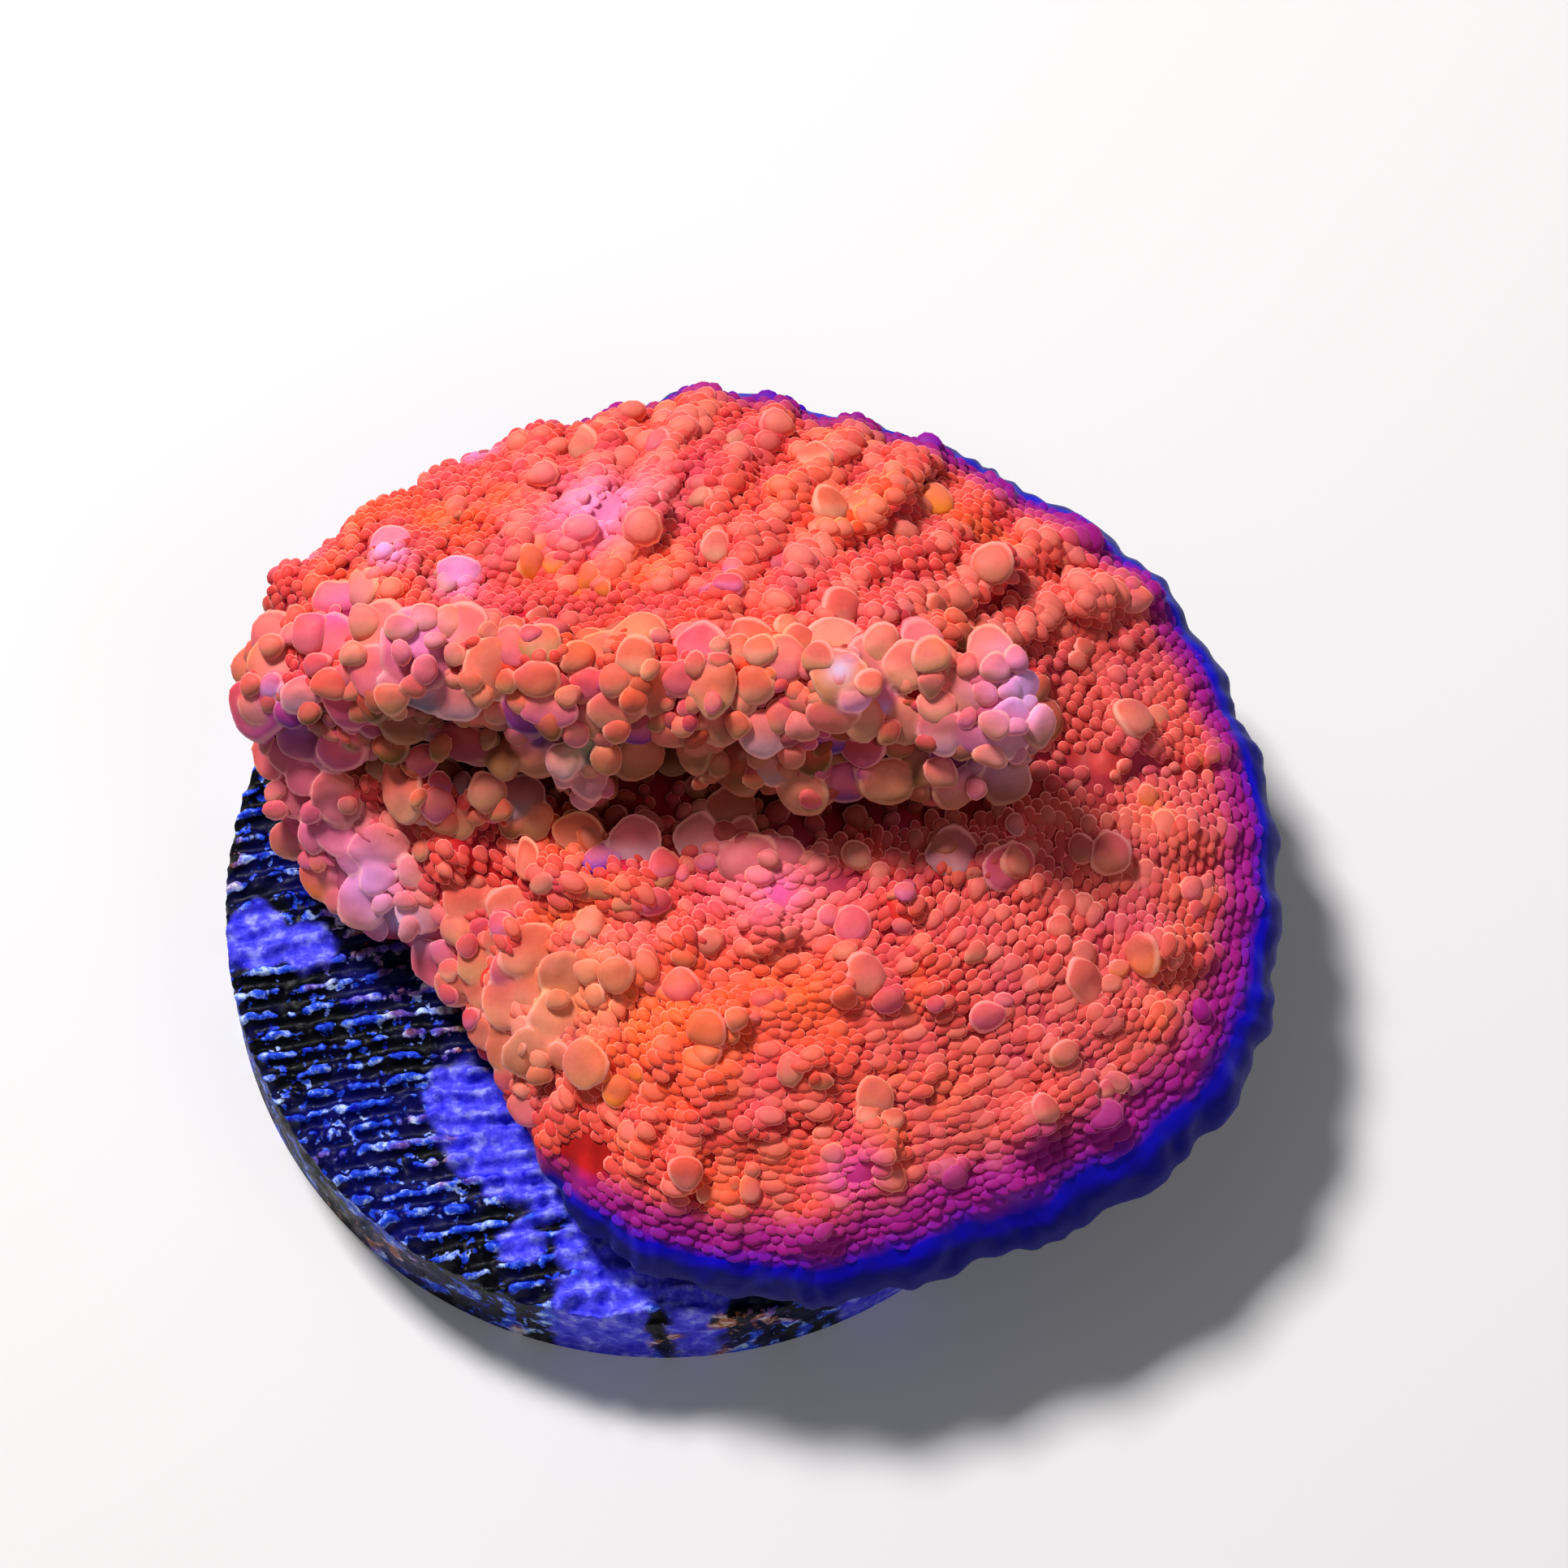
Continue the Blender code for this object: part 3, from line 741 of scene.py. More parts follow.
# %% [markdown]
# ## Tools that find places
#
# Places on the skin are found in three ways: by a line dropped from above, by a slide along
# the direction in which the colony faces, and by a draw over the skin's own faces. Of places
# that lie too close together only the first is kept, as in a colony, where the papilla that
# came first has the room.

# %% Find places on the skin


def drop_on_skin(places):
    """Where lines dropped at these plan places meet the skin, and how it faces there."""
    feet, facing = [], []
    for x, y in places:
        hit, normal, _, _ = skin_tree.ray_cast(Vector((x, y, drop_from)), Vector((0, 0, -1)))
        if hit is not None:
            feet.append(hit)
            facing.append(normal)
    return np.array(feet), np.array(facing)


def seat(feet):
    """Slide feet along the direction the colony faces until they stand on the skin."""
    seated = feet.copy()
    for i, foot in enumerate(feet):
        start = Vector(foot) + Vector(FACED) * (2.5 * MM)
        hit, _, _, apart = skin_tree.ray_cast(start, -Vector(FACED), 6 * MM)
        if hit is not None:
            seated[i] = hit
    return seated


def skin_normals(feet):
    """How the skin faces nearest to each foot."""
    return np.array([skin_tree.find_nearest(Vector(foot))[1] for foot in feet])


# %% Bare places
# Places in millimetres where the skin stays bare: x, y, z, radius.
BARE = [
    (5.0, -2.6, 13.3, 0.8), (7.2, -2.0, 13.3, 0.6), (-2.4, 13.2, 16.4, 1.3), (-0.6, 12.2, 16.4, 0.9),
    (15.0, 3.6, 19.2, 2.2), (13.4, 2.6, 17.4, 2.4), (-3.4, 3.0, 17.0, 2.0), (-4.0, -6.4, 13.2, 1.5),
    (-5.8, -9.0, 11.4, 2.0), (-7.4, -8.4, 10.0, 1.6), (-3.6, -13.4, 10.8, 1.8), (-15.0, 2.2, 11.2, 2.2),
    (-13.0, -0.8, 10.2, 1.5), (-10.2, -3.0, 9.8, 1.5), (-8.0, -5.0, 10.0, 1.5),
    (8.2, -14.4, 11.8, 0.8), (-10.0, 6.2, 19.4, 1.3), (-13.2, 8.8, 17.8, 1.2), (-8.6, 9.6, 18.6, 1.0),
    (-11.6, -2.0, 9.6, 1.7), (7.6, 4.5, 20.8, 1.3),
]


def cover_left(points):
    """How much of a papilla's size is left near the blue band and on bare places."""
    turn, _ = turn_and_reach(points)
    band = band_at(turn)
    edge = np.where(band > 1e-5, smoothstep(0.35, 1.3, inside_rim(points) / np.maximum(band, 1e-6)), 1)
    for x, y, z, radius in BARE:
        apart = np.linalg.norm(points - np.array([x, y, z]) * MM, axis=1) / (radius * MM)
        edge = edge * smoothstep(0.6, 1.35, apart)
    return edge


# %% Draw places and keep them apart


def random_skin_places(count):
    """Places drawn evenly over the skin's area."""
    faces = skin.data.polygons
    areas = np.zeros(len(faces))
    faces.foreach_get("area", areas)
    chosen = draw.choice(len(areas), size=count, p=areas / areas.sum())
    centres = np.zeros(len(areas) * 3)
    faces.foreach_get("center", centres)
    facing = np.zeros(len(areas) * 3)
    faces.foreach_get("normal", facing)
    return centres.reshape(-1, 3)[chosen], facing.reshape(-1, 3)[chosen]


def keep_apart(feet, taken, gaps):
    """Indices of the feet that stand at least their own gap from the ones kept before."""
    kept = []
    cell = float(gaps.max())
    grid = {}

    def key(point):
        return tuple(int(math.floor(c / cell)) for c in point)

    for point in taken:
        grid.setdefault(key(point), []).append(point)
    for index, point in enumerate(feet):
        kx, ky, kz = key(point)
        near = [q for dx in (-1, 0, 1) for dy in (-1, 0, 1) for dz in (-1, 0, 1)
                for q in grid.get((kx + dx, ky + dy, kz + dz), ())]
        if all(np.linalg.norm(point - q) > gaps[index] for q in near):
            kept.append(index)
            grid.setdefault((kx, ky, kz), []).append(point)
    return np.array(kept, int)


# %% Shape lobes


def shape_lobes(pattern, feet, facing, wide, high, tilts, tints, depth, front):
    """Lobes whose width and height are as seen from the front; the widest stay flat."""
    count = len(feet)
    turn = np.radians(tilts)
    longs = np.stack([np.cos(turn), np.sin(turn) * BEYOND[1], np.sin(turn) * BEYOND[2]], axis=1)
    axes = unit((1 - front) * facing + front * TO_FRONT + draw.normal(0, 0.05, (count, 3)))
    thick = FLESH * np.tanh(np.sqrt(wide * high) * depth / FLESH)
    thick = thick * (1 - 0.35 * smoothstep(0.7 * MM, 1.2 * MM, np.sqrt(wide * high)))
    sizes = np.stack([wide, high, thick], axis=1)
    feet = feet + axes * (thick * 0.35)[:, None]
    own = np.array([TINTS[tint or "peach"] for tint in tints])
    strength = np.array([TINT_STRENGTH.get(tint, 0.95) for tint in tints])
    # Painted shade on each lobe's lower, front side, less on pale tints.
    low_shade = (0.22 + 0.40 * front) * smoothstep(11 * MM, 15 * MM, feet[:, 2]) + 0.10
    low_shade = low_shade * np.where(np.isin(tints, PALE_TINTS), 0.45, 1.0)
    return plant(pattern, feet, axes, longs, sizes, spread(-0.18, 0.18, count),
                 spread(-0.6, 1.0, count), own, strength, low_shade)


# %% [markdown]
# ## Grow the lobes
#
# The lip runs from left to right; a place well in front of it is low on the fold. Lobes fill
# the fold and the cut edge, the large ones first, so that small ones only take the room that
# is left.

# %% Grow the lobes by rule
LIP_PLACES = ((-17.5, 7.4), (-10.0, 6.4), (0.0, 5.3), (18.0, 5.0))


def lip_at(x):
    """How far back the lip lies at these x."""
    at, back = np.array(LIP_PLACES).T * MM
    return np.interp(x, at, back)


def lobe_zone(feet, facing):
    """Which part of the coral each place is on: high or low on the fold, the cut edge, or none."""
    behind = feet[:, 1] - lip_at(feet[:, 0])
    to_front = facing @ FACED
    on_fold = (behind < 1.3 * MM) & (behind > -6.5 * MM) & (feet[:, 2] > 13.2 * MM)
    on_fold &= (feet[:, 0] < 16.5 * MM) & (to_front > 0.05)
    turn, _ = turn_and_reach(feet)
    on_edge = (band_at(turn) < 1e-5) & (inside_rim(feet) < 4.0 * MM) & (feet[:, 1] < 5.0 * MM)
    on_edge &= (to_front > 0.2) & (feet[:, 2] > 8.5 * MM)
    zone = np.where(on_edge, "edge", "none")
    return np.where(on_fold, np.where(behind > -1.8 * MM, "high", "low"), zone)


def grow_lobes():
    """Rows for the lobes: the main ones, then ever smaller ones in the room that is left."""
    rows = [list(row) for row in MAIN_LOBES]
    for least, most in LOBE_ROOMS:
        feet, facing = random_skin_places(LOBE_TRIES)
        zones = lobe_zone(feet, facing)
        use = (zones != "none") & (skin_value(skin_shade, feet) < 0.75)
        feet, zones = feet[use], zones[use]
        gaps = spread(least, most, len(feet)) * MM
        taken = [np.array(row[:3]) * MM for row in rows]
        for i in keep_apart(feet, taken, gaps * 0.80):
            half = gaps[i] / MM * 0.5
            names, often = LOBE_TINTS[str(zones[i])]
            rows.append([*(feet[i] / MM), half * draw.uniform(0.9, 1.15), half * draw.uniform(0.8, 1.25),
                         draw.uniform(-30, 30), str(draw.choice(names, p=often))])
    return rows


lobe_rows = grow_lobes()
print("lobes on the fold and the cut edge:", len(lobe_rows))

# %% [markdown]
# ## Settle the lobes
#
# Broad lobes low on the fold are flat, and dishes flatter still. The large lobes, the broad
# low ones and those with a cool tint run together into one skin. Of the others, a small one
# that lands on a big one is lifted until it stands on it.

# %% Flatten, sort and lift
fold_rows = np.array([row[:6] for row in lobe_rows])
fold_feet = seat(fold_rows[:, :3] * MM)
fold_wide, fold_high = fold_rows[:, 3] * MM * 1.06, fold_rows[:, 4] * MM * 1.06
fold_depth = np.full(len(fold_rows), 0.85)
low_and_broad = (fold_rows[:, 2] * MM < LOW_ON_FOLD) & (fold_wide + fold_high > SMALL_LOBE)
fold_depth[low_and_broad] = 0.50
fold_feet -= FACED * np.maximum(fold_feet[:, 2] - HIGHEST_FOOT, 0)[:, None] * 0.3
fold_tints = [row[6] for row in lobe_rows]
fold_depth[[tint == "dish" for tint in fold_tints]] = 0.40
run_together = (np.array([tint in DRAPED for tint in fold_tints]) | low_and_broad
                | (fold_wide + fold_high > LARGE_LOBE))
dished = np.array([tint == "dish" for tint in fold_tints])
run_together &= ~dished
lifts = np.zeros(len(fold_rows))
for i, foot in enumerate(fold_feet):
    apart = foot - fold_feet
    along = apart @ FACED
    flat = np.linalg.norm(apart - along[:, None] * FACED, axis=1)
    size = (fold_wide + fold_high) / 2
    inside = np.sqrt(np.maximum(1 - (flat / size) ** 2, 0))
    over = 0.75 * fold_depth * size * inside - along
    lifts[i] = np.max(np.where((size > 1.4 * size[i]) & (inside > 0), over, 0.0))
lifts[run_together] = 0.0
lifts[dished] = 0.35 * MM
fold_feet += FACED * np.clip(lifts, 0, 0.8 * MM)[:, None]
print("lobes lifted onto bigger ones:", int((lifts > 0).sum()))

# %% [markdown]
# ## Fill the gaps
#
# Between them, the front of the fold is filled with more lobes at places drawn at random.

# %% Fill the front of the fold
more_feet, more_facing = random_skin_places(FRONT_TRIES)
on_front = ((more_feet[:, 2] > 13.0 * MM) & (more_feet[:, 1] < 9.0 * MM) & (more_facing[:, 2] < 0.75)
            & (more_facing[:, 2] > -0.5) & (more_facing[:, 1] < 0.25)
            & (more_feet[:, 0] < 15.0 * MM) & (skin_value(skin_shade, more_feet) < 0.6)
            & (cover_left(more_feet) > 0.5))
more_feet, more_facing = more_feet[on_front], more_facing[on_front]
more_gaps = spread(0.55, 1.15, len(more_feet)) * MM
kept = keep_apart(more_feet, list(fold_feet[fold_wide > 0.6 * MM]), more_gaps)
more_feet, more_gaps = more_feet[kept], more_gaps[kept]
count = len(more_feet)
print("more lobes on the front:", count)
more_wide = more_gaps * spread(0.56, 0.76, count)
more_high = more_gaps * spread(0.46, 0.64, count)
more_tints = list(draw.choice(["", "peach", "tan", "mauve", "olive"], count,
                              p=[0.12, 0.30, 0.34, 0.16, 0.08]))

# %% [markdown]
# ## Build the fold
#
# Lobes that run together are made one skin by the Remesh modifier. The others stay copies
# that sink into each other, which keeps the creases between them sharp.

# %% Build the pieces of the fold


def fold_piece(name, which, pattern, merge):
    """One piece of the fold's lobes: those that which picks."""
    chosen = np.flatnonzero(which)
    shaped = shape_lobes(pattern, fold_feet[chosen], skin_normals(fold_feet[chosen]),
                         fold_wide[chosen], fold_high[chosen], fold_rows[chosen, 5],
                         [fold_tints[i] for i in chosen], fold_depth[chosen], 0.5)
    if merge:
        return grow_together(name, LOBE_NET, *shaped)
    points, faces, values = shaped
    return build(name, wobble(points), faces, values)


fold_drapes = fold_piece("fold_drapes", run_together, lobe, True)
small = fold_wide + fold_high < SMALL_LOBE
fold_lobes = fold_piece("fold_lobes", ~run_together & ~small & ~dished, lobe, False)
fold_dishes = fold_piece("fold_dishes", dished, dish, False)
fold_buds = fold_piece("fold_buds", ~run_together & small & ~dished, papilla, False)
front_points, front_faces, front_values = shape_lobes(
    papilla, more_feet, skin_normals(more_feet), more_wide, more_high, spread(-30, 30, count),
    more_tints, 0.8, 0.55)
front_lobes = build("front_lobes", wobble(front_points), front_faces, front_values)

# %% [markdown]
# ## Shade beside the lobes
#
# The skin close to a lobe is painted with shade. The lobes' own places were chosen by the sky alone.

# %% Shade the skin beside the lobes
sky_shade = skin_shade.copy()
near_fold = np.zeros(len(skin_points))
for place, wide, high in zip(fold_feet, fold_wide, fold_high):
    if place[2] < 14 * MM:
        continue
    apart = np.linalg.norm(skin_points - place, axis=1) / (0.7 * (wide + high))
    near_fold = np.maximum(near_fold, np.exp(-apart ** 2))
# Painted shade near the lobes: the skin's colour mask gets the full share, the papillae planted later a
# weaker one.
skin_shade = np.clip(sky_shade + 0.8 * near_fold * smoothstep(1.05, 0.75, skin_facing[:, 2]), 0, 1)
skin.data.attributes["shade"].data.foreach_set("value", skin_shade.astype(np.float32))
skin_shade = np.clip(sky_shade + 0.6 * near_fold * smoothstep(0.80, 0.45, skin_facing[:, 2]), 0, 1)

# %% [markdown]
# ## Knobs on the open skin
#
# Single knobs spread over the plate and the shelf, and many have a smaller one or two beside
# them. Each stands where a line dropped from above meets the skin.

# %% Grow the knobs


def grow_knobs():
    """Rows for the knobs: single ones spread over the open skin, many with a smaller one or two."""
    feet, facing = random_skin_places(KNOB_TRIES)
    use = (facing[:, 2] > 0.6) & (inside_rim(feet) > 2.2 * MM) & (lobe_zone(feet, facing) == "none")
    use &= (skin_value(sky_shade, feet) < 0.5) & (cover_left(feet) > 0.6)
    feet = feet[use]
    gaps = spread(*KNOB_ROOM, len(feet)) * MM
    kept = keep_apart(feet, [], gaps)[:KNOB_COUNT]
    rows = []
    for i in kept:
        half = draw.uniform(0.45, 0.95)
        tint = str(draw.choice(KNOB_TINTS[0], p=KNOB_TINTS[1]))
        rows.append([*(feet[i, :2] / MM), half, half * draw.uniform(0.8, 1.2), draw.uniform(-30, 30), tint])
        turn = draw.uniform(0, 2 * math.pi)
        for _ in range(draw.integers(0, 3)):
            apart = half * draw.uniform(1.2, 1.5)
            place = feet[i, :2] / MM + apart * np.array([math.cos(turn), math.sin(turn)])
            small = half * draw.uniform(0.5, 0.75)
            rows.append([*place, small, small * draw.uniform(0.8, 1.2), draw.uniform(-30, 30), tint])
            turn += draw.uniform(0.8, 2.2)
    return rows


knob_list = grow_knobs()
print("knobs:", len(knob_list))
knob_rows = np.array([row[:5] for row in knob_list])
knob_feet, knob_facing = drop_on_skin(knob_rows[:, :2] * MM)
knob_wide, knob_high = knob_rows[:, 2] * MM, knob_rows[:, 3] * MM
knob_feet = knob_feet + np.array([0, 0, 0.10]) * MM
knob_tints = [row[5] for row in knob_list]


def knob_piece(name, which, pattern):
    """One piece of the knobs: those that which picks."""
    chosen = np.flatnonzero(which)
    points, faces, values = shape_lobes(
        pattern, knob_feet[chosen], knob_facing[chosen], knob_wide[chosen], knob_high[chosen],
        knob_rows[chosen, 4], [knob_tints[i] for i in chosen], 0.95, 0.2)
    return build(name, wobble(points), faces, values)


knob_size = np.maximum(knob_wide, knob_high)
big_knobs = knob_piece("big_knobs", knob_size > BIG_KNOB, lobe)
small_knobs = knob_piece("small_knobs", knob_size <= BIG_KNOB, papilla)

# %% [markdown]
# ## Rings of papillae on the plate and the shelf
#
# The coral adds papillae as its rim grows outward, so they stand in rings that follow the
# rim, one behind the other along the costae. Where the rings get longer the costae split.
# The shelf's rings start from a line along the lip and the plate's from the mouth in its
# middle. Each place is found by dropping a line from above onto the skin.

# %% Places for the rings
# Each half: start line from (x, y) to (x, y) in mm, rim angles in degrees, then the distance
# from ring to ring and from papilla to papilla.
HALVES = {
    "shelf": ((11.5, 4.5), (-9.5, 5.2), 9.0, 168.0, 0.41 * MM, 0.52 * MM),
    "plate": ((6.0, -0.5), (3.0, -1.5), 369.0, 168.0, 0.43 * MM, 0.60 * MM),
}
FIRST_COLUMNS = 14


def ring_places(start_a, start_b, turn_a, turn_b, step, pitch):
    """Places on rings that grow from the start line out to the rim, with their directions."""
    share = np.linspace(0, 1, 60)
    starts = (np.outer(1 - share, start_a) + np.outer(share, start_b)) * MM
    turns = np.radians(turn_a + (turn_b - turn_a) * share)
    turns = np.arctan2(np.sin(turns), np.cos(turns))
    ends = PLATE_CENTRE + rim_at(turns)[:, None] * np.stack([np.cos(turns), np.sin(turns)], axis=1)
    rings = int(np.linalg.norm(ends - starts, axis=1).max() / step)
    places, ways = [], []
    for ring in range(1, rings + 1):
        line = starts + (ends - starts) * 0.985 * ring / rings
        steps = np.linalg.norm(np.diff(line, axis=0), axis=1)
        length = np.concatenate([[0], np.cumsum(steps)])
        columns = FIRST_COLUMNS
        while length[-1] / columns > 1.42 * pitch:
            columns *= 2
        at = (np.arange(columns) + 0.5 * (ring % 2) + draw.uniform(-0.14, 0.14, columns)) / columns
        at = np.clip(at, 0, 1)
        place = np.stack([np.interp(at, share, line[:, 0]), np.interp(at, share, line[:, 1])], axis=1)
        after = np.stack([np.interp(at + 0.01, share, line[:, 0]),
                          np.interp(at + 0.01, share, line[:, 1])], axis=1)
        jitter = draw.normal(0, 0.08, (columns, 2)) * step
        places.append(place + jitter)
        ways.append(after - place + 1e-9)
    return np.concatenate(places), np.concatenate(ways)


def drop_rings(half):
    """Feet, facings and ring directions of one half."""
    places, ways = ring_places(*HALVES[half])
    feet, facing, kept_ways = [], [], []
    for (x, y), way in zip(places, ways):
        hit, normal, _, _ = skin_tree.ray_cast(Vector((x, y, drop_from)), Vector((0, 0, -1)))
        if hit is not None and normal.z > 0.35:
            feet.append(hit)
            facing.append(normal)
            kept_ways.append((*way, 0.0))
    return np.array(feet), np.array(facing), unit(np.array(kept_ways))


lobe_feet = np.concatenate([fold_feet, more_feet, knob_feet])
lobe_reach = 0.5 * np.concatenate([fold_wide + fold_high, more_wide + more_high, knob_wide + knob_high])


def clear_of_lobes(feet, share=0.55):
    """Which feet stand outside the lobes and knobs."""
    clear = np.ones(len(feet), bool)
    for place, reach in zip(lobe_feet, lobe_reach):
        clear &= np.linalg.norm(feet - place, axis=1) > share * reach
    return clear


# %% [markdown]
# ## Bare places and sizes
#
# Papillae are small round the polyps' mouths, on the smooth tip and on the worn lower edge,
# and fade out on the blue band. One in fifteen or so grows much larger than the rest. On
# the shelf they stand upright on a slope, so each hides the foot of the next.

# %% Plant the rings
PLATE_ROWS = 46


def ring_papillae(half, long_sizes, wide_sizes, tall_sizes, lean, gap, big_share):
    """Plant the rings of one half."""
    feet, facing, ways = drop_rings(half)
    left = cover_left(feet)
    use = (left > 0.12) & clear_of_lobes(feet) & (skin_value(sky_shade, feet) < 0.7)
    feet, facing, ways, left = feet[use], facing[use], ways[use], left[use]
    kept = keep_apart(feet, [], np.full(len(feet), gap))
    feet, facing, ways, left = feet[kept], facing[kept], ways[kept], left[kept]
    count = len(feet)
    ways = ways * np.where(ways[:, 1] < 0, -1, 1)[:, None]
    axes = unit(facing * 0.35 + np.array(lean) * 0.65 + draw.normal(0, 0.06, (count, 3)))
    size = spread(0.80, 1.20, count) * (0.8 + 0.2 * left)
    size = size * (1 + 0.18 * noise_at(feet, 2.6 * MM, 21.0))
    turn, _ = turn_and_reach(feet)
    row = 0.5 + 0.5 * np.cos(turn * PLATE_ROWS + 2.5 * noise_at(feet, 6 * MM, 31.0))
    crest = ridge_lift(feet) / (0.6 * MM) if half == "shelf" else row ** 3
    size = size * (0.90 + 0.42 * np.clip(crest, 0, 1.2))
    size = np.where(draw.uniform(size=count) < big_share, size * spread(1.3, 1.75, count), size)
    tones = np.clip(1.6 * (size - 1.05) + spread(-0.7, 0.4, count), -1, 1)
    sizes = np.stack([spread(*long_sizes, count), spread(*wide_sizes, count),
                      spread(*tall_sizes, count) * left ** 0.8], axis=1) * MM * size[:, None]
    feet = feet + axes * (sizes[:, 2] * 0.30)[:, None]
    print(half, "papillae:", count)
    piece = build("papillae_" + half, *plant(scale, feet, axes, ways, sizes,
                                             spread(0.0, 0.42, count), tones, low_shade=0.12))
    return piece, feet


shelf_piece, shelf_feet = ring_papillae(
    "shelf", long_sizes=(0.31, 0.41), wide_sizes=(0.25, 0.32), tall_sizes=(0.36, 0.50),
    lean=(0.0, -0.35, 1.0), gap=0.34 * MM, big_share=0.06)
plate_piece, plate_feet = ring_papillae(
    "plate", long_sizes=(0.33, 0.44), wide_sizes=(0.22, 0.29), tall_sizes=(0.20, 0.30),
    lean=(0.0, 0.0, 1.0), gap=0.34 * MM, big_share=0.05)

# %% [markdown]
# ## More papillae where the surface is steep
#
# A line from above misses the lip's front and the steep sides. There, places are drawn at
# random over the skin's own faces, and one is kept only if no other stands too close.

# %% Places on steep skin
STEEP_GAPS = (0.42 * MM, 0.90 * MM)
steep_feet, steep_facing = random_skin_places(STEEP_TRIES)
wanted = ((steep_feet[:, 2] > 10.6 * MM) & (steep_facing[:, 2] > -0.5)
          & ((inside_rim(steep_feet) > 0.5 * MM) | (band_at(turn_and_reach(steep_feet)[0]) < 0.3 * MM))
          & clear_of_lobes(steep_feet, 0.6)
          & (skin_value(sky_shade, steep_feet) < 0.62))
steep_feet, steep_facing = steep_feet[wanted], steep_facing[wanted]
gaps = draw.uniform(*STEEP_GAPS, len(steep_feet))
ring_feet = np.concatenate([shelf_feet, plate_feet])
kept = keep_apart(steep_feet, ring_feet, gaps)
steep_feet, steep_facing, gaps = steep_feet[kept], steep_facing[kept], gaps[kept]


def steep_papillae():
    """Plant the rounder, less even papillae of the lip and the steep sides."""
    left = cover_left(steep_feet)
    use = left > 0.3
    feet, facing, room = steep_feet[use], steep_facing[use], gaps[use] * (0.5 + 0.5 * left[use])
    count = len(feet)
    axes = unit(facing + TO_FRONT * 0.5 + draw.normal(0, 0.12, (count, 3)))
    longs = unit(np.cross(axes, draw.normal(0, 1, (count, 3))))
    wide = room * 0.58
    sizes = np.stack([wide * spread(1.05, 1.45, count), wide,
                      wide * spread(0.9, 1.3, count)], axis=1)
    feet = feet + axes * (sizes[:, 2] * 0.3)[:, None]
    print("steep papillae:", count)
    front = smoothstep(12.5 * MM, 14.5 * MM, feet[:, 2]) * smoothstep(7.5 * MM, 5.5 * MM, feet[:, 1])
    own = np.array([TINTS[tint] for tint in draw.choice(["tan", "peach", "mauve"], count)])
    return build("papillae_steep", *plant(papilla, feet, axes, longs, sizes,
                                          spread(-0.35, 0.35, count), spread(-1, 1, count),
                                          own, 0.65 * front, 0.30))


steep_piece = steep_papillae()
for pattern in (papilla, scale, lobe, dish):
    bpy.data.objects.remove(pattern, do_unlink=True)

# %% [markdown]
# ## The living colour
#
# One colour group dresses all of the coral, because it is one skin. From foot to crown a
# papilla goes from deep crimson through a thin pale edge, a painted highlight of its outline,
# to a muted salmon. Tints, the blue rim and the brown of painted shade are laid over that by
# the masks, and a painted glow, strongest on the pale edges, fades in the painted shade. The
# mixing is a node group, so that it can be reused; the shader itself stays in the material.

# %% Node helpers


def new_group(name, inputs, outputs):
    """An empty shader node group with these sockets."""
    group = bpy.data.node_groups.new(name, "ShaderNodeTree")
    for socket, kind, value in inputs:
        made = group.interface.new_socket(socket, in_out="INPUT", socket_type=kind)
        made.default_value = value
    for socket, kind in outputs:
        group.interface.new_socket(socket, in_out="OUTPUT", socket_type=kind)
    return group, group.nodes.new("NodeGroupInput"), group.nodes.new("NodeGroupOutput")


def feed(tree, socket, value):
    """Link a socket, or set it to a number or a colour."""
    if isinstance(value, bpy.types.NodeSocket):
        tree.links.new(value, socket)
    elif isinstance(value, tuple) and len(value) == 3:
        socket.default_value = (*value, 1.0)
    else:
        socket.default_value = value


def ramp_node(tree, value, stops):
    """A colour ramp with (place, colour) stops."""
    node = tree.nodes.new("ShaderNodeValToRGB")
    ramp = node.color_ramp
    while len(ramp.elements) < len(stops):
        ramp.elements.new(0.5)
    for element, (place, colour) in zip(ramp.elements, stops):
        element.position = place
        element.color = (*colour, 1.0) if isinstance(colour, tuple) else (colour, colour, colour, 1.0)
    feed(tree, node.inputs[0], value)
    return node.outputs[0]


def mix_node(tree, factor, first, second, kind="MIX"):
    """Mix two colours; each input is a socket or a plain value."""
    node = tree.nodes.new("ShaderNodeMix")
    node.data_type = "RGBA"
    node.blend_type = kind
    for socket, value in zip((node.inputs[0], node.inputs[6], node.inputs[7]), (factor, first, second)):
        feed(tree, socket, value)
    return node.outputs[2]


def math_node(tree, operation, *values):
    """One sum; each input is a socket or a number."""
    node = tree.nodes.new("ShaderNodeMath")
    node.operation = operation
    for socket, value in zip(node.inputs, values):
        feed(tree, socket, value)
    return node.outputs[0]


def noise_node(tree, place, scale, detail=2.0, roughness=0.5):
    """Noise on object coordinates; scale is in waves per metre."""
    node = tree.nodes.new("ShaderNodeTexNoise")
    node.inputs["Scale"].default_value = scale
    node.inputs["Detail"].default_value = detail
    node.inputs["Roughness"].default_value = roughness
    tree.links.new(place, node.inputs["Vector"])
    return node.outputs["Fac"]


def range_node(tree, value, low, high, to_low=0.0, to_high=1.0):
    """Carry a value from one range to another."""
    node = tree.nodes.new("ShaderNodeMapRange")
    for socket, number in zip(node.inputs, (value, low, high, to_low, to_high)):
        feed(tree, socket, number)
    return node.outputs[0]


# %% The group that mixes the living colour
FOOT = paint(150, 18, 20)
SIDE = paint(205, 28, 30)
